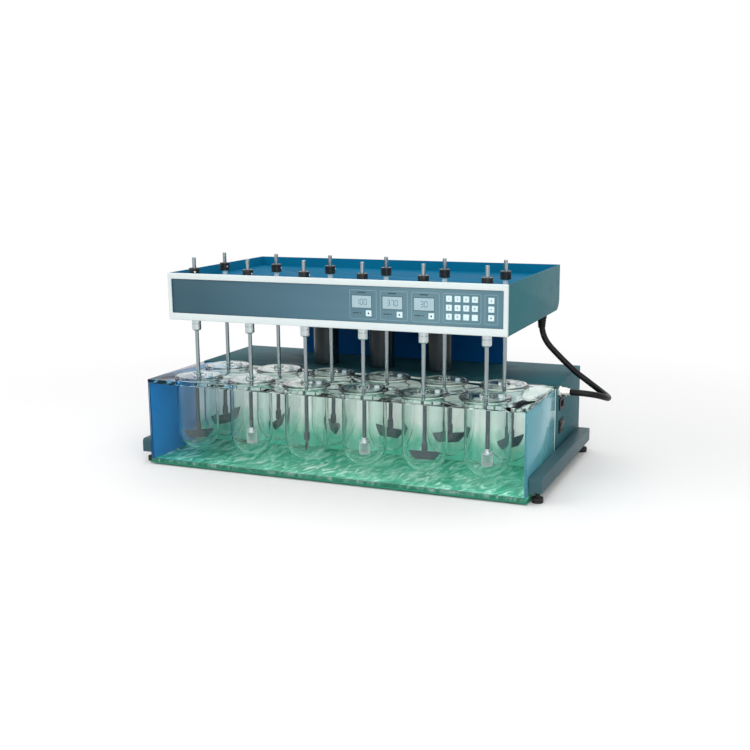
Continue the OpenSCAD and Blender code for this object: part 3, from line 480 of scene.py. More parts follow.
def coated(name, colour, roughness, grain_size, grain_depth, patches, colour_spread=0.06,
           metallic=0.0, shine=0.5):
    """Paint, moulded plastic, rubber or cast metal: patches over a fine grain.

    The grain and the patches have more to the metre the larger their number is, and the
    grain's depth is in millimetres.
    """
    material, tree, shader, vector = new_material(name)
    finish = place_group(tree, UNEVEN, vector, Patch_size=patches, Colour_spread=colour_spread,
                         Roughness=roughness)
    feed_colour(tree, vector, finish.inputs["Color"], colour)
    tree.links.new(finish.outputs["Color"], shader.inputs["Base Color"])
    tree.links.new(finish.outputs["Roughness"], shader.inputs["Roughness"])
    shader.inputs["Metallic"].default_value = metallic
    shader.inputs["Specular IOR Level"].default_value = shine
    skin = place_group(tree, GRAIN, vector, Size=grain_size)
    bump(tree, shader, skin.outputs["Height"], grain_depth * MM)
    return material


def brushed(name, colour, roughness, stretch):
    """Bare metal with lines along the direction whose stretch is smallest."""
    material, tree, shader, vector = new_material(name)
    lines = place_group(tree, BRUSHED, vector, Stretch=stretch, Color=(*colour, 1),
                        Roughness=roughness)
    tree.links.new(lines.outputs["Color"], shader.inputs["Base Color"])
    tree.links.new(lines.outputs["Roughness"], shader.inputs["Roughness"])
    shader.inputs["Metallic"].default_value = 1.0
    bump(tree, shader, lines.outputs["Height"], BRUSH_DEPTH)
    return material


def clear(name, colour, ior, roughness=0.0, smears=0.02, transmission=1.0):
    """Clear acrylic or glass, a little smeared by handling."""
    material, tree, shader, vector = new_material(name)
    feed_colour(tree, vector, shader.inputs["Base Color"], colour)
    shader.inputs["IOR"].default_value = ior
    shader.inputs["Transmission Weight"].default_value = transmission
    smear = noise(tree, vector, SMEAR_SCALE)
    tree.links.new(spread(tree, smear, roughness, roughness + smears), shader.inputs["Roughness"])
    CLEAR.append(material)
    return material


def panel_colours_with_painted_light(tree, vector):
    """Slate at the left of the panel, paler and greyer at the right: painted light, brightest where
    the light falls near the right end.
    """
    return running(tree, along(tree, vector, "X", -0.42, 0.42),
                   (0.10, (0.052, 0.117, 0.158)), (0.45, (0.095, 0.195, 0.255)),
                   (0.80, (0.155, 0.275, 0.320)), (1.00, (0.120, 0.230, 0.285)))


def back_pane_painted_light_colours(tree, vector):
    """Pale above with painted caustic streaks over it, and the floor's green painted along the foot
    of the pane as its reflection.
    """
    height = along(tree, vector, "Z", 0.040, 0.085, 0.05)
    # Painted caustic light: upright streaks of lighter and darker colour over the whole pane.
    streaks = spread(tree, stretched(tree, vector, (70, 70, 5)), 0.84, 1.04)
    return shaded(tree, running(tree, height, (0.0, (0.10, 0.52, 0.37)), (0.5, (0.52, 0.74, 0.64)),
                                (1.0, (0.93, 0.93, 0.90))), streaks)


def floor_colours_with_painted_caustics(tree, vector):
    """Emerald with pale wavy streaks of painted caustic light, and a darker front edge."""
    # Painted caustic light: the pale streaks run from dark green through emerald to mint.
    streaks = stretched(tree, vector, (44, 15, 16), 1.4)
    colours = running(tree, spread(tree, streaks, 0.0, 1.0), (0.0, (0.02, 0.30, 0.17)),
                      (0.45, (0.05, 0.46, 0.29)), (0.8, (0.30, 0.72, 0.55)),
                      (1.0, (0.62, 0.90, 0.80)))
    front = low("water_tank").y
    edge = along(tree, vector, "Y", front + 0.5 * MM, front + 3 * MM)
    return shaded(tree, colours, maths(tree, "ADD", maths(tree, "MULTIPLY", edge, 0.6), 0.4))


def plate_colours_with_painted_reflection(tree, vector):
    """Painted reflection: blue over the blue end of the bath, where the end pane shows through,
    then almost clear.
    """
    left = low("vessel_plate").x
    return running(tree, along(tree, vector, "X", left, left + 0.17, 0.02),
                   (0.0, (0.10, 0.50, 0.80)), (0.5, (0.35, 0.72, 0.88)), (1.0, (0.90, 0.985, 0.96)))


# Coated: roughness, grain, its depth, patches, spread of colour. Brushed: roughness, stretch.
# Clear: index of refraction, roughness
PAINT_HOUSING = coated("housing paint", (0.031, 0.122, 0.146), 0.45, 700, 0.03, 5, shine=0.03)
PAINT_CASING = coated("head casing paint", (0.052, 0.192, 0.222), 0.42, 800, 0.02, 5, shine=0.03)
PAINT_TOP_BLUE = coated("head top paint", (0.002, 0.135, 0.262), 0.45, 800, 0.02, 5, 0.10,
                        shine=0.02)
PAINT_NAVY = coated("shroud paint", (0.0, 0.070, 0.240), 0.4, 800, 0.02, 6, shine=0.1)
PAINT_FRAME = coated("frame paint", (0.042, 0.098, 0.114), 0.42, 600, 0.04, 9, shine=0.12)
PAINT_TRAY = coated("tray paint", (0.012, 0.20, 0.12), 0.35, 800, 0.02, 9, shine=0.3)
PAINT_COLUMN = coated("column lacquer", (0.006, 0.021, 0.027), 0.25, 900, 0.008, 9, shine=0.3)
PLASTIC_WHITE = coated("frame plastic", (0.76, 0.84, 0.84), 0.38, 1200, 0.015, 6, 0.03, shine=0.3)
# Painted light: the panel film is paler and greyer towards the right, where the light falls.
PLASTIC_PANEL = coated("panel film", panel_colours_with_painted_light, 0.36, 1500, 0.01, 3, 0.04, shine=0.15)
PLASTIC_KEY = coated("key plastic", (0.74, 0.93, 0.98), 0.42, 1500, 0.01, 30, 0.03, shine=0.3)
PLASTIC_BLACK = coated("black plastic", (0.010, 0.012, 0.013), 0.42, 1100, 0.02, 25, shine=0.1)
PLASTIC_COLLAR = coated("collar plastic", (0.006, 0.010, 0.012), 0.32, 1300, 0.01, 40)
PLASTIC_ROCKER = coated("rocker plastic", (0.014, 0.016, 0.017), 0.3, 1300, 0.01, 40, shine=0.15)
RUBBER = coated("foot rubber", (0.018, 0.018, 0.019), 0.75, 900, 0.05, 30, 0.12, shine=0.3)
RUBBER_HOSE = coated("hose rubber", (0.006, 0.006, 0.007), 0.4, 500, 0.03, 20, 0.15, shine=0.18)
BELT_RUBBER = coated("belt rubber", (0.02, 0.02, 0.021), 0.7, 900, 0.04, 20, 0.1)
CAST_GREY = coated("motor casting", (0.16, 0.17, 0.18), 0.5, 300, 0.08, 15, metallic=0.3)
ALLOY_DECK = coated("deck alloy", (0.42, 0.47, 0.50), 0.42, 500, 0.02, 9, metallic=0.85)
LCD_FACE = coated("display face", (0.42, 0.58, 0.64), 0.25, 1500, 0.004, 30, 0.03, shine=0.3)
LCD_DIGIT = coated("display digits", (0.11, 0.19, 0.23), 0.25, 1500, 0.004, 30, 0.03)
PRINT_PALE = coated("pale print", (0.30, 0.47, 0.54), 0.5, 1500, 0.004, 30, 0.03, shine=0.2)
PRINT_DARK = coated("dark print", (0.045, 0.085, 0.105), 0.5, 1500, 0.004, 30, 0.03, shine=0.2)
PRINT_BLACK = coated("key print", (0.03, 0.04, 0.045), 0.5, 1500, 0.004, 30, 0.03, shine=0.2)
STEEL_ROD = brushed("rod steel", (0.31, 0.36, 0.38), 0.22, (900, 900, 12))
STEEL_TURNED = brushed("turned steel", (0.55, 0.61, 0.63), 0.24, (60, 60, 1500))
COLUMN_CHROME = brushed("column chrome", (0.60, 0.65, 0.67), 0.15, (260, 260, 6))
STEEL_BASKET = brushed("basket steel", (0.62, 0.67, 0.68), 0.35, (400, 400, 400))
STEEL_SCREW = brushed("screw steel", (0.62, 0.64, 0.65), 0.3, (300, 300, 300))
NICKEL = brushed("gland nickel", (0.70, 0.70, 0.65), 0.22, (200, 900, 900))
ALLOY_PULLEY = brushed("pulley alloy", (0.66, 0.67, 0.69), 0.3, (60, 60, 1500))
# Painted shade: rods below the lids and the paddles are painted dark for the shade and dark
# reflections they show inside the bath.
ROD_PAINTED_SHADE = coated("rod painted shade", (0.016, 0.040, 0.048), 0.3, 1200, 0.01, 30, 0.12, shine=0.4)
NECK_PLASTIC = coated("spindle neck", (0.62, 0.74, 0.77), 0.3, 1500, 0.006, 40, 0.04)
ACRYLIC = clear("clear acrylic", (0.97, 0.995, 0.985), 1.2)
# Blue end pane: a blue tint, painted opaque and deep, whose colour also stands in for reflected
# blue surroundings as a painted reflection.
ACRYLIC_LEFT_TINT_AND_REFLECTION = coated("blue end pane", (0.0, 0.165, 0.440), 0.3, 900, 0.004, 8, 0.08, shine=0.03)
ACRYLIC_RIGHT = clear("pale blue end acrylic", (0.20, 0.54, 0.62), 1.2, 0.12, transmission=0.5)
ACRYLIC_PLATE = clear("plate acrylic", plate_colours_with_painted_reflection, 1.18)
ACRYLIC_LID = clear("lid acrylic", (0.96, 0.99, 0.98), 1.25, 0.02)
# Painted light: the back pane carries painted caustic streaks and a painted reflection of the green
# floor.
ACRYLIC_BACK = coated("back pane", back_pane_painted_light_colours, 0.25, 900, 0.004, 8, 0.05, shine=0.3)
ACRYLIC_FLOOR = coated("floor pane", floor_colours_with_painted_caustics, 0.2, 900, 0.004, 8, 0.05, shine=0.3)
GLASS = clear("vessel glass", (0.96, 0.99, 0.985), 1.36, smears=0.0)


photo_camera()


# Cable hose: the route's points are the part's own, in millimetres
HOSE_POINTS = [
    (413, 142, 359), (413, 142, 335), (419, 143, 311), (432, 143, 291), (449, 142, 275),
    (467, 140, 258), (485, 141, 242), (502, 145, 225), (521, 150, 211), (541, 149, 197),
    (561, 141, 186), (578, 126, 179), (591, 105, 177), (596, 82, 179), (593, 59, 185),
    (582, 39, 193), (563, 25, 198), (540, 18, 201), (516, 18, 201)]
HOSE_D = 15 * MM
ROUTE_STEPS = 8
SMOOTHINGS = 30


def hose_route():
    """A smooth line through the hose's points."""
    points = [Vector(p) * MM for p in HOSE_POINTS]
    points = [2 * points[0] - points[1]] + points + [2 * points[-1] - points[-2]]
    route = []
    for a, b, c, d in zip(points, points[1:], points[2:], points[3:]):
        for i in range(ROUTE_STEPS):
            t = i / ROUTE_STEPS
            route.append(0.5 * ((2 * b) + (c - a) * t + (2 * a - 5 * b + 4 * c - d) * t ** 2
                                + (3 * b - a - 3 * c + d) * t ** 3))
    route.append(points[-2])
    for _ in range(SMOOTHINGS):
        route[2:-2] = [(a + b * 2 + c) / 4
                       for a, b, c in zip(route[1:-3], route[2:-2], route[3:-1])]
    return route


def cable_hose():
    route = hose_route()
    data = bpy.data.curves.new("cable_hose_tube", "CURVE")
    data.dimensions = "3D"
    data.bevel_depth = HOSE_D / 2
    data.bevel_resolution = 6
    data.use_fill_caps = True
    line = data.splines.new("POLY")
    line.points.add(len(route) - 1)
    for point, place in zip(line.points, route):
        point.co = (*place, 1)
    hose = placed("cable_hose_tube", data)
    only(hose)
    bpy.ops.object.convert(target="MESH")
    hose = bpy.context.object
    smooth(hose, 40)
    finish_with(hose, RUBBER_HOSE)
    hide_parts("cable_hose")
    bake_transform(hose)


cable_hose()


# Stage and lights: a lamp is given by its place, its size in metres and its power in watts
FLOOR_SIZE = 30
FADE_START, FADE_END = 0.75, 1.9
STUDIO_LIGHT = 0.62
LIGHTS_AIM = Vector((0, 0, 0.25))
LIGHT_BOUNCES, CLEAR_BOUNCES = 28, 16
LAMPS = (("key_light", (1.5, -2.6, 1.5), 2.2, 44), ("fill_light", (-2.4, -1.6, 1.8), 2.4, 26),
         ("top_light", (0.0, 0.6, 3.0), 2.6, 30))


def seen_rays(tree):
    """1 for the rays that show the background: to the camera, in gloss and through glass."""
    rays = tree.nodes.new("ShaderNodeLightPath")
    seen = maths(tree, "MAXIMUM", rays.outputs["Is Camera Ray"], rays.outputs["Is Glossy Ray"])
    return maths(tree, "MAXIMUM", seen, rays.outputs["Is Transmission Ray"])


def floor_white():
    """Pale floor that fades to plain white away from the instrument."""
    material = bpy.data.materials.new("floor white")
    material.use_nodes = True
    tree = material.node_tree
    shader = tree.nodes["Principled BSDF"]
    shader.inputs["Base Color"].default_value = (0.93, 0.93, 0.93, 1)
    shader.inputs["Roughness"].default_value = 0.9
    shader.inputs["Specular IOR Level"].default_value = 0.1
    place = tree.nodes.new("ShaderNodeTexCoord")
    length = tree.nodes.new("ShaderNodeVectorMath")
    length.operation = "LENGTH"
    tree.links.new(place.outputs["Object"], length.inputs[0])
    far = mapped(tree, length.outputs["Value"], FADE_START, FADE_END)
    far.node.interpolation_type = "SMOOTHSTEP"
    white = tree.nodes.new("ShaderNodeEmission")
    tree.links.new(seen_rays(tree), white.inputs["Strength"])
    mix = tree.nodes.new("ShaderNodeMixShader")
    tree.links.new(far, mix.inputs["Fac"])
    tree.links.new(shader.outputs[0], mix.inputs[1])
    tree.links.new(white.outputs[0], mix.inputs[2])
    tree.links.new(mix.outputs[0], tree.nodes["Material Output"].inputs["Surface"])
    return material


def stage_and_lights():
    deselect()
    bpy.ops.mesh.primitive_plane_add(size=FLOOR_SIZE)
    floor = bpy.context.object
    floor.name = "floor"
    floor.data.materials.append(floor_white())

    world = bpy.data.worlds.new("studio")
    bpy.context.scene.world = world
    world.use_nodes = True
    tree = world.node_tree
    background = tree.nodes["Background"]
    background.inputs["Color"].default_value = (1, 1, 1, 1)
    seen = maths(tree, "MULTIPLY", seen_rays(tree), 1 - STUDIO_LIGHT)
    tree.links.new(maths(tree, "ADD", seen, STUDIO_LIGHT), background.inputs["Strength"])

    for name, place, size, power in LAMPS:
        data = bpy.data.lights.new(name, "AREA")
        data.size = size
        data.energy = power
        lamp = placed(name, data)
        turn = (LIGHTS_AIM - Vector(place)).to_track_quat("-Z", "Y").to_matrix().to_4x4()
        lamp.matrix_world = Matrix.Translation(place) @ turn
    scene = bpy.context.scene
    scene.view_settings.view_transform = "Standard"
    # Seen along the bath, light passes many walls of glass
    scene.cycles.max_bounces = LIGHT_BOUNCES
    scene.cycles.transmission_bounces = LIGHT_BOUNCES
    scene.cycles.transparent_max_bounces = CLEAR_BOUNCES


stage_and_lights()


# Bath: five panes, each its own piece
def bath():
    lowest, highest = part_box("water_tank")
    wall, floor_t = 6 * MM, 8 * MM
    z0 = lowest.z + floor_t
    x0, x1, y0, y1, z1 = lowest.x, highest.x, lowest.y, highest.y, highest.z
    panes = (
        ("bath_floor_pane", (x0, y0, lowest.z), (x1, y1, z0), ACRYLIC_FLOOR),
        ("bath_front_pane", (x0, y0, z0), (x1, y0 + wall, z1), ACRYLIC),
        ("bath_back_pane", (x0, y1 - wall, z0), (x1, y1, z1), ACRYLIC_BACK),
        ("bath_left_pane", (x0, y0 + wall, z0), (x0 + wall, y1 - wall, z1), ACRYLIC_LEFT_TINT_AND_REFLECTION),
        ("bath_right_pane", (x1 - wall, y0 + wall, z0), (x1, y1 - wall, z1), ACRYLIC_RIGHT))
    for name, corner, far, material in panes:
        pane = slab(name, corner, far, 0.8 * MM)
        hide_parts("water_tank")
        dress(pane, "base", "tank_clear", material)


def vessel():
    """One glass vessel at the first place of the front row: a wall with a rounded rim."""
    x, y, _ = axis_of("front", 1)
    bottom, top = low("glass_vessels").z, high("glass_vessels").z
    inner, wall, rim_r, rim_t = 49.5 * MM, 2.5 * MM, 59 * MM, 5 * MM
    outer = inner + wall
    mid = bottom + outer
    bead = rim_t / 2
    outside = arc((0, mid), outer, -90, 0, 20)
    collar = [(outer, top - rim_t)] + arc((rim_r - bead, top - bead), bead, -90, 90, 8)
    mouth = arc((inner + bead, top - bead), bead, 90, 180, 5)
    inside = arc((0, mid), inner, 0, -90, 20)
    return lathe("glass_vessel", outside + collar + mouth + inside, (x, y, 0), 72)


def lid():
    """One clear lid with its boss, its ring and its capped port."""
    x, y, _ = axis_of("front", 1)
    hole, ring_in, ring_out, edge = 6 * MM, 45 * MM, 48 * MM, 56 * MM
    boss, thick, boss_top, ring_low = 13 * MM, 3 * MM, 10 * MM, 4 * MM
    port_x, port_r, port_low, port_top = 34 * MM, 6 * MM, thick + 0.05 * MM, 9 * MM
    bottom = low("vessel_lids").z + ring_low
    cut = 0.8 * MM
    profile = [
        (hole, 0), (ring_in, 0), (ring_in, -ring_low + cut), (ring_in + cut, -ring_low),
        (ring_out - cut, -ring_low), (ring_out, -ring_low + cut), (ring_out, 0),
        (edge - cut, 0), (edge, cut), (edge, thick - cut), (edge - cut, thick),
        (boss + 2 * MM, thick), (boss, thick + 2 * MM), (boss, boss_top - cut),
        (boss - cut, boss_top), (hole + cut, boss_top), (hole, boss_top - cut)]
    disc = lathe("vessel_lid", profile, (x, y, bottom), 64, ring=True)
    port = lathe("lid_port", [(0, port_low), (port_r, port_low), (port_r, port_top - 1 * MM),
                              (port_r - cut, port_top), (0, port_top)],
                 (x + port_x, y, bottom), 32)
    return disc, port


def vessels_and_lids():
    glass = vessel()
    disc, port = lid()
    for row, place in POSITIONS:
        offset = axis_of(row, place) - axis_of("front", 1)
        tag = f"{row}_{place}"
        piece = copied(glass, f"vessel_{tag}", offset)
        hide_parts("glass_vessels")
        dress(piece, "base", "vessel_glass", GLASS)
        piece = copied(disc, f"lid_{tag}", offset)
        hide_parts("vessel_lids")
        dress(piece, "lids", "lid_clear", ACRYLIC_LID)
        dress(copied(port, f"lid_port_{tag}", offset), "lids", "lid_clear", NECK_PLASTIC)
    for piece in (glass, disc, port):
        remove(piece)


# Stirrers, modelled at the first front position and copied
ROD_R, NECK_R, NECK_BORE, HUB_R, CHUCK_R, COLLAR_R = (
    4.75 * MM, 10 * MM, 6.25 * MM, 7 * MM, 11.5 * MM, 13 * MM)
HUB_TOP, PADDLE_H, CAP_TOP = 37 * MM, 19 * MM, 30 * MM
WIRE_T = 0.45 * MM
RIB_STEP = 5
TURN_PER_PLACE, BACK_ROW_TURN = 37, 20


def painted_shade_top():
    """Height up to which a stirrer's rod carries its painted shade, just under its lid: below it
    the steel is painted dark for the shade and dark reflections in the bath.
    """
    return low("vessel_lids").z - 1 * MM


def spindle_parts():
    """The parts of one stirrer by their names, at the first front position."""
    x, y, _ = axis_of("front", 1)
    foot, top = low("spindle_front_1").z, high("spindle_front_1").z
    deck = low("head_deck").z
    tray = low("head_top_tray").z + 2 * MM
    chuck_top, chuck_low = deck - 1 * MM, deck - 29 * MM
    chuck_floor = chuck_low + 10 * MM
    collar_low, collar_top = tray + 15.5 * MM, tray + 35 * MM
    pulley_low = high("head_deck").z + 3 * MM
    pulley_top = pulley_low + 28 * MM
    bore, tip, cut = ROD_R + 0.05 * MM, 1.2 * MM, 0.6 * MM
    parts = {}
    for key, rod_foot in (("rod", foot + PADDLE_H), ("basket_rod", foot + CAP_TOP)):
        parts[key] = lathe(key, [
            (0, rod_foot), (ROD_R, rod_foot), (ROD_R, painted_shade_top()), (ROD_R, top - tip),
            (ROD_R - tip, top), (0, top)], (x, y, 0), 40)
    parts["chuck"] = lathe("chuck", [
        (ROD_R, chuck_low + 1 * MM), (ROD_R + 1 * MM, chuck_low),
        (CHUCK_R - 2.5 * MM, chuck_low), (CHUCK_R, chuck_low + 2.5 * MM),
        (CHUCK_R, chuck_top - 12 * MM), (CHUCK_R - cut, chuck_top - 11.4 * MM),
        (CHUCK_R - cut, chuck_top - 10.4 * MM), (CHUCK_R, chuck_top - 9.8 * MM),
        (CHUCK_R, chuck_top - cut), (CHUCK_R - cut, chuck_top), (NECK_R, chuck_top),
        (NECK_R, chuck_floor), (ROD_R, chuck_floor)], (x, y, 0), 48, ring=True)
    parts["quill"] = lathe("quill", [
        (bore, chuck_floor), (NECK_R, chuck_floor), (NECK_R, pulley_top),
        (NECK_BORE, pulley_top), (NECK_BORE, collar_low), (bore, collar_low)],
        (x, y, 0), 40, ring=True)
    flange, groove, step, plate, edge = 17 * MM, 14 * MM, 13 * MM, 2 * MM, 0.3 * MM
    outline = [(NECK_R, pulley_low)]
    for i in range(3):
        z = pulley_low + i * step
        outline += [(groove, z), (flange, z + edge), (flange, z + plate - edge),
                    (groove, z + plate)]
    outline[1] = (flange - edge, pulley_low)
    outline[-1] = (flange - edge, pulley_top)
    outline += [(NECK_R, pulley_top)]
    parts["pulley"] = lathe("pulley", outline, (x, y, 0), 48, ring=True)
    parts["collar"] = collar(x, y, collar_low, collar_top)
    parts["set_screw"] = socket_screw(
        "set_screw", (x, y - COLLAR_R, (collar_low + collar_top) / 2), 2.4 * MM, TO_FRONT)
    parts["paddle"] = paddle(x, y, foot)
    parts["basket"] = basket(x, y, foot)
    return parts


def collar(x, y, low_z, high_z):
    """Black clamping collar: a ribbed grip between two plain rims."""
    r, cut, groove, rib_h = COLLAR_R, 0.8 * MM, 0.9 * MM, 0.7 * MM
    rim = (high_z - low_z) * 0.28
    grip_low, grip_high = low_z + rim, high_z - rim
    profile = [
        (ROD_R, low_z), (r - cut, low_z), (r, low_z + cut), (r, grip_low - groove),
        (r - groove, grip_low), (r - groove, grip_high), (r, grip_high + groove),
        (r, high_z - cut), (r - cut, high_z), (ROD_R + cut, high_z), (ROD_R, high_z - cut)]
    piece = lathe("collar", profile, (x, y, 0), 72, ring=True)
    edit(piece)
    bpy.ops.mesh.select_all(action="DESELECT")
    leave_edit()
    for face in piece.data.polygons:
        across = math.hypot(face.center.x - x, face.center.y - y)
        upright = abs(face.normal.z) < 0.2
        between = grip_low < face.center.z < grip_high
        turn = math.degrees(math.atan2(face.center.y - y, face.center.x - x))
        even = round(turn / RIB_STEP - 0.5) % 2 == 0
        face.select = upright and between and across > r / 2 and even
    bpy.ops.object.mode_set(mode="EDIT")
    bpy.ops.mesh.select_mode(type="FACE")
    bpy.ops.mesh.extrude_faces_move(TRANSFORM_OT_shrink_fatten={"value": rib_h})
    leave_edit()
    smooth(piece, 30)
    return piece


def socket_screw(name, place, r, turn):
    """A screw's head with a round socket, its face proud of the surface at place."""
    proud, hole, floor, cut, sunk = 0.5 * r, 0.5 * r, 0.14 * r, 0.2 * r, 0.15 * r
    profile = [(0, floor), (hole, floor), (hole, proud), (r - cut, proud), (r, proud - cut),
               (r, -sunk), (0, -sunk)]
    return lathe(name, profile, place, 24, turn=turn)


def paddle(x, y, foot):
    """Flat blade with curved ends under a round hub."""
    blade_r, thick, foot_w = 41.5 * MM, 4 * MM, 42 * MM
    mid = foot + math.sqrt(blade_r ** 2 - foot_w ** 2 / 4)
    deselect()
    bpy.ops.mesh.primitive_cylinder_add(vertices=160, radius=blade_r, depth=thick,
                                        location=(x, y, mid), rotation=(math.pi / 2, 0, 0))
    blade = bpy.context.object
    settle(blade)
    edit(blade)
    for z, outer in ((foot, False), (foot + PADDLE_H, True)):
        bpy.ops.mesh.select_all(action="SELECT")
        bpy.ops.mesh.bisect(plane_co=(x, y, z), plane_no=(0, 0, 1), use_fill=True,
                            clear_inner=not outer, clear_outer=outer)
    leave_edit()
    bevelled(blade, 0.6 * MM)
    hub = lathe("hub", sleeve(ROD_R, HUB_R, foot + PADDLE_H, foot + HUB_TOP, 1 * MM),
                (x, y, 0), 40, ring=True)
    return joined("paddle", [blade, hub])


def basket(x, y, foot):
    """Wire mesh cup with a round floor, under a cap with a neck."""
    r, cup_h, rim, wires, rings = 12.2 * MM, 27 * MM, 2 * MM, 40, 20
    net_h = cup_h - 2 * rim
    deselect()
    bpy.ops.mesh.primitive_cylinder_add(vertices=wires, radius=r, depth=net_h,
                                        location=(x, y, foot + cup_h / 2),
                                        end_fill_type="NOTHING")
    net = bpy.context.object
    settle(net)
    edit(net)
    for i in range(1, rings):
        z = foot + rim + net_h * i / rings
        bpy.ops.mesh.select_all(action="SELECT")
        bpy.ops.mesh.bisect(plane_co=(x, y, z), plane_no=(0, 0, 1))
    leave_edit()
    modified(net, "WIREFRAME", thickness=WIRE_T, use_even_offset=False)
    floor = lathe("basket_floor", sleeve(0.4 * MM, r + 0.3 * MM, foot, foot + 2.2 * MM, 0.5 * MM),
                  (x, y, 0), 40, ring=True)
    cap_r, cap_low, cap_top, hub_top = 12.5 * MM, foot + 25 * MM, foot + CAP_TOP, foot + HUB_TOP
    cap = lathe("basket_cap", [
        (ROD_R, cap_low), (r - 0.6 * MM, cap_low), (cap_r, cap_low + 1 * MM),
        (cap_r, cap_top - 0.8 * MM), (cap_r - 0.8 * MM, cap_top), (HUB_R, cap_top),
        (HUB_R, hub_top - 1 * MM), (HUB_R - 1 * MM, hub_top), (ROD_R, hub_top)],
        (x, y, 0), 40, ring=True)
    return joined("basket", [net, floor, cap])


PART_FINISH = {
    "rod": (STEEL_ROD, ROD_PAINTED_SHADE), "basket_rod": (STEEL_ROD, ROD_PAINTED_SHADE),
    "chuck": (STEEL_TURNED,), "quill": (NECK_PLASTIC,), "pulley": (ALLOY_PULLEY,),
    "collar": (PLASTIC_COLLAR,), "set_screw": (STEEL_SCREW,), "paddle": (ROD_PAINTED_SHADE,),
    "basket": (STEEL_BASKET,)}


def spindles():
    """Copies the parts to every position, with a paddle or a basket at the foot."""
    parts = spindle_parts()
    shade_top = painted_shade_top()
    first = axis_of("front", 1)
    for row, place in POSITIONS:
        node = f"spindle_{row}_{place}"
        offset = axis_of(row, place) - first
        has_basket = (row, place) in BASKET_POSITIONS
        left_out = {"rod", "paddle"} if has_basket else {"basket_rod", "basket"}
        turn = math.radians(TURN_PER_PLACE * place + BACK_ROW_TURN * (row == "back"))
        for key, piece in parts.items():
            if key in left_out:
                continue
            twin = copied(piece, f"{key}_{row}_{place}", offset, turn, first)
            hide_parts(node)
            dress(twin, node, "spindle_steel", *PART_FINISH[key])
            # Faces below the lids take the second material, the painted shade.
            if "rod" in key:
                for face in twin.data.polygons:
                    face.material_index = int(face.center.z < shade_top)
    for piece in parts.values():
        remove(piece)


# Panel: printed lines, displays and marks on the keys. Fields are given by their edges and
# displays by their middle, in millimetres
PRINT_T, PRINT_GAP = 0.12 * MM, 0.02 * MM
FIELD_CORNER, FIELD_LINE = 4 * MM, 0.8 * MM
RIM_W, RIM_H, RIM_CORNER, RIM_LINE = 50.4 * MM, 30.4 * MM, 1.2 * MM, 1.1 * MM
LABEL_CORNER, MARK_R, LETTER_SIZE = 0.8 * MM, 2.1 * MM, 8 * MM
FIELDS = (
    ("display_field_1", 55.5, 122, 393, 460), ("display_field_2", 131.5, 198, 393, 460),
    ("display_field_3", 207.5, 274, 393, 460), ("keypad_field", 282.5, 370.5, 394, 460),
    ("mode_field", 379, 409, 394, 460))
DISPLAYS = ((85, "100"), (161, "37.0"), (237, "30"))
DISPLAY_Z = 433
SEGMENTS = {"0": "abcdef", "1": "bc", "3": "abcdg", "7": "abc"}
SEGMENT_PLACES = {"a": (0, 1, "lying"), "g": (0, 0, "lying"), "d": (0, -1, "lying"),
                  "f": (-1, 0.5, "standing"), "b": (1, 0.5, "standing"),
                  "e": (-1, -0.5, "standing"), "c": (1, -0.5, "standing")}
DIGIT_W, DIGIT_H, DIGIT_BAR, DIGIT_PITCH = 6.2 * MM, 13 * MM, 1.3 * MM, 9.4 * MM
DISPLAY_LABELS = (("caption", 0, 454.5, 20, 2.6), ("note", -14, 407, 16, 2.2),
                  ("lamp", -2, 407, 3, 3))
PAD_MARKS = "1234567890.-"


def on_panel(name, x, z, width, height, corner, front, hollow=0.0):
    """A thin raised shape with round corners on an upright face, solid or a line round it."""
    deselect()
    bpy.ops.mesh.primitive_plane_add(size=1, location=(x, front + PRINT_GAP, z),
                                     rotation=(math.pi / 2, 0, 0))
    piece = bpy.context.object
    piece.name = name
    piece.scale = (width, height, 1)
    settle(piece)
    edit(piece)
    bpy.ops.mesh.bevel(offset=corner, segments=5, affect="VERTICES")
    bpy.ops.mesh.select_all(action="SELECT")
    if hollow:
        bpy.ops.mesh.inset(thickness=hollow)
        bpy.ops.mesh.delete(type="FACE")
        bpy.ops.mesh.select_all(action="SELECT")
    bpy.ops.mesh.extrude_region_move(TRANSFORM_OT_translate={"value": (0, -PRINT_T, 0)})
    close_edit()
    return piece


def lettered(name, text, place, size):
    """Plain characters standing on an upright face that looks to the front."""
    deselect()
    bpy.ops.object.text_add()
    piece = bpy.context.object
    piece.data.body = text
    piece.data.size = size
    piece.data.align_x = "CENTER"
    piece.data.align_y = "CENTER"
    piece.data.extrude = PRINT_T / 2
    bpy.ops.object.convert(target="MESH")
    piece = bpy.context.object
    piece.name = name
    piece.data.transform(Matrix.Translation(place) @ TO_FRONT)
    return piece


def digit_bars(front):
    """One lit bar lying, one standing and one point, at the first display's middle."""
    x, z = DISPLAYS[0][0] * MM, DISPLAY_Z * MM
    gap, corner = DIGIT_BAR * 0.7, DIGIT_BAR * 0.45
    wide, tall = DIGIT_W - gap, DIGIT_H / 2 - gap
    return {"lying": on_panel("digit_bar_lying", x, z, wide, DIGIT_BAR, corner, front),
            "standing": on_panel("digit_bar_standing", x, z, DIGIT_BAR, tall, corner, front),
            "point": on_panel("digit_point", x, z, DIGIT_BAR, DIGIT_BAR, 0.3 * MM, front)}


def display_digits(name, bars, x, text):
    """Seven-segment digits, one bar for each lit part, joined as one piece."""
    count = len(text.replace(".", ""))
    start = (x - DISPLAYS[0][0]) * MM
    pieces = []
    place = 0
    for character in text:
        if character == ".":
            gap = start + (place - count / 2) * DIGIT_PITCH
            pieces.append(copied(bars["point"], name, (gap, 0, -DIGIT_H / 2)))
            continue
        centre = start + (place - (count - 1) / 2) * DIGIT_PITCH
        for letter in SEGMENTS[character]:
            across, up, kind = SEGMENT_PLACES[letter]
            pieces.append(copied(bars[kind], name,
                                 (centre + across * DIGIT_W / 2, 0, up * DIGIT_H / 2)))
        place += 1
    return joined(name, pieces)


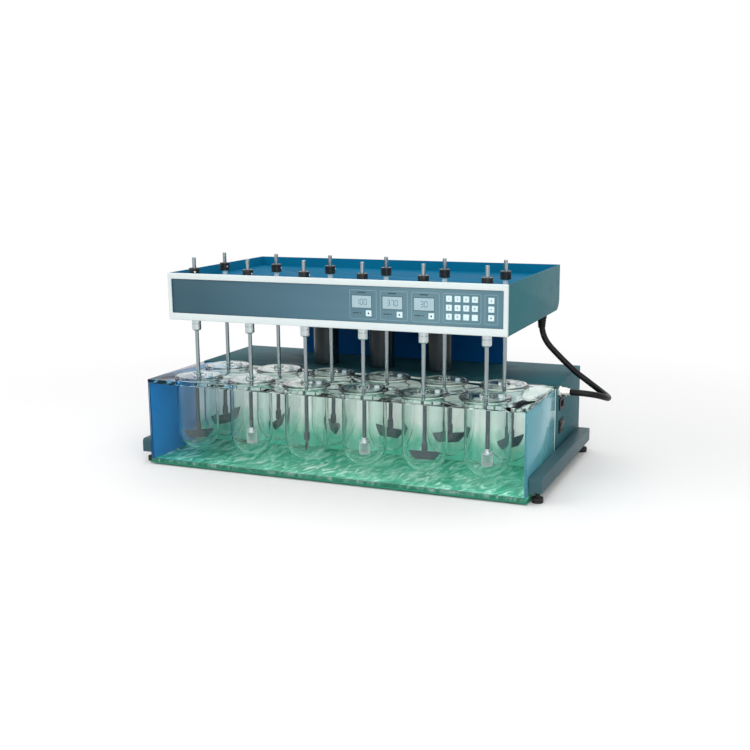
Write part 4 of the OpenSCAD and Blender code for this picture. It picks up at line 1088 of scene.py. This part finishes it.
def panel_print():
    front = low("control_panel").y
    bars = digit_bars(front)
    for name, left, right, bottom, top in FIELDS:
        field = on_panel(name, (left + right) / 2 * MM, (bottom + top) / 2 * MM,
                         (right - left) * MM, (top - bottom) * MM, FIELD_CORNER, front,
                         hollow=FIELD_LINE)
        dress(field, "head", SLOTS["control_panel"], PRINT_PALE)
    for index, (x, text) in enumerate(DISPLAYS, 1):
        rim = on_panel(f"display_rim_{index}", x * MM, DISPLAY_Z * MM, RIM_W, RIM_H,
                       RIM_CORNER, front, hollow=RIM_LINE)
        dress(rim, "head", SLOTS["control_panel"], PRINT_DARK)
        digits = display_digits(f"display_digits_{index}", bars, x, text)
        dress(digits, "head", SLOTS["display_board"], LCD_DIGIT)
        for tag, dx, z, width, height in DISPLAY_LABELS:
            label = on_panel(f"display_{tag}_{index}", (x + dx) * MM, z * MM, width * MM,
                             height * MM, LABEL_CORNER, front)
            dress(label, "head", SLOTS["control_panel"], PRINT_DARK)
    for bar in bars.values():
        remove(bar)


def key_marks():
    """Plain numbers on the keypad and plain shapes on the other keys."""
    for index, text in enumerate(PAD_MARKS, 1):
        node = f"pad_key_{index}"
        place = middle(node)
        mark = lettered(f"{node}_mark", text, (place.x, low(node).y, place.z), LETTER_SIZE)
        dress(mark, nodes[node]["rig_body"], SLOTS[node], PRINT_BLACK)
    shapes = (("mode_key_1", 3, 0), ("mode_key_2", 3, math.pi), ("mode_key_3", 4, math.pi / 4),
              ("display_key_1", 24, 0), ("display_key_2", 24, 0), ("display_key_3", 24, 0))
    for node, corners, turn in shapes:
        place = middle(node)
        deselect()
        bpy.ops.mesh.primitive_circle_add(vertices=corners, radius=MARK_R, fill_type="NGON")
        mark = bpy.context.object
        mark.name = f"{node}_mark"
        edit(mark)
        bpy.ops.mesh.extrude_region_move(TRANSFORM_OT_translate={"value": (0, 0, PRINT_T)})
        close_edit()
        foot = Matrix.Translation((place.x, low(node).y + PRINT_T / 4, place.z))
        mark.data.transform(foot @ TO_FRONT @ Matrix.Rotation(turn, 4, "Z"))
        dress(mark, nodes[node]["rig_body"], SLOTS[node], PRINT_BLACK)


def strain_relief():
    """Ribbed rubber cone round the hose where it leaves the head."""
    x, y, z = (value * MM for value in HOSE_POINTS[0])
    inner, top_r, foot_r, length, ribs = HOSE_D / 2 + 0.1 * MM, 11.4 * MM, 8.9 * MM, 25 * MM, 5
    profile = [(inner, z)]
    for i in range(ribs):
        for share, cut in ((0.0, 0.0), (0.55, 0.0), (0.62, 0.8), (0.93, 0.8)):
            down = (i + share) / ribs
            profile.append((top_r + (foot_r - top_r) * down - cut * MM, z - length * down))
    profile += [(foot_r - 0.6 * MM, z - length), (inner, z - length)]
    cone = lathe("hose_strain_relief", profile, (x, y, 0), 40, ring=True)
    dress(cone, "head", "hose_black", RUBBER_HOSE)


def key_caps():
    """One cap with rounded edges, copied to every key."""
    first = "pad_key_1"
    cap = softened(first, 0.8 * MM, PLASTIC_KEY, segments=3)
    for node in sorted(n for n in nodes if "_key_" in n and n != first):
        twin = copied(cap, node + "_shell", middle(node) - middle(first))
        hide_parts(node)
        dress(twin, nodes[node]["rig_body"], SLOTS[node], PLASTIC_KEY)


def back_screws():
    """Pan-head screws along the top and the foot of the housing's back panel."""
    lowest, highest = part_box("housing_back_panel")
    inset, radius = 9 * MM, 3.2 * MM
    first = Vector((lowest.x + inset, highest.y, lowest.z + inset))
    screw = socket_screw("back_screw", first, radius, TO_BACK)
    columns, rows = 5, 2
    across = (highest.x - lowest.x - 2 * inset) / (columns - 1)
    up = (highest.z - lowest.z - 2 * inset) / (rows - 1)
    for row in range(rows):
        for column in range(columns):
            twin = copied(screw, f"back_screw_{row + 1}_{column + 1}",
                          (across * column, 0, up * row))
            dress(twin, "base", SLOTS["housing_back_panel"], STEEL_SCREW)
    remove(screw)


panel_print()
key_marks()
key_caps()
strain_relief()
back_screws()
spindles()
bath()
vessels_and_lids()

# CAD nodes that keep their own shape: edge in millimetres, its segments, material
SHELLS = (
    ("vessel_plate", 0.8, 2, ACRYLIC_PLATE), ("tank_tray", 0.6, 2, PAINT_TRAY),
    ("base_frame", 1.2, 3, PAINT_FRAME), ("lift_shroud", 0.8, 2, PAINT_NAVY),
    ("housing_cover", 1.2, 3, PAINT_HOUSING), ("housing_back_panel", 0.5, 2, PAINT_HOUSING),
    ("column_sleeves", 1.0, 2, PAINT_COLUMN), ("head_casing", 0.9, 2, PAINT_CASING),
    ("head_top_tray", 0.7, 2, PAINT_TOP_BLUE), ("head_deck", 0.6, 2, ALLOY_DECK),
    ("front_frame", 1.6, 3, PLASTIC_WHITE), ("control_panel", 0.3, 2, PLASTIC_PANEL),
    ("display_board", 0.2, 2, LCD_FACE), ("power_entry", 0.5, 2, PLASTIC_BLACK),
    ("rocker_switch", 0.5, 2, PLASTIC_ROCKER), ("hose_gland", 0.6, 2, NICKEL),
    ("head_gland", 0.8, 2, PLASTIC_BLACK), ("guide_columns", 0.5, 2, COLUMN_CHROME),
    ("rubber_feet", 0.8, 2, RUBBER), ("lift_motor", 1.5, 2, CAST_GREY),
    ("lift_screw", 0.5, 2, STEEL_TURNED), ("bath_circulator", 1.0, 2, CAST_GREY),
    ("drive_motor", 1.0, 2, CAST_GREY), ("motor_pulley", 0.3, 2, ALLOY_PULLEY),
    ("drive_belts", 0.3, 2, BELT_RUBBER), ("spindle_bearings", 0.4, 2, STEEL_TURNED))
for node, width, segments, material in SHELLS:
    softened(node, width * MM, material, segments)
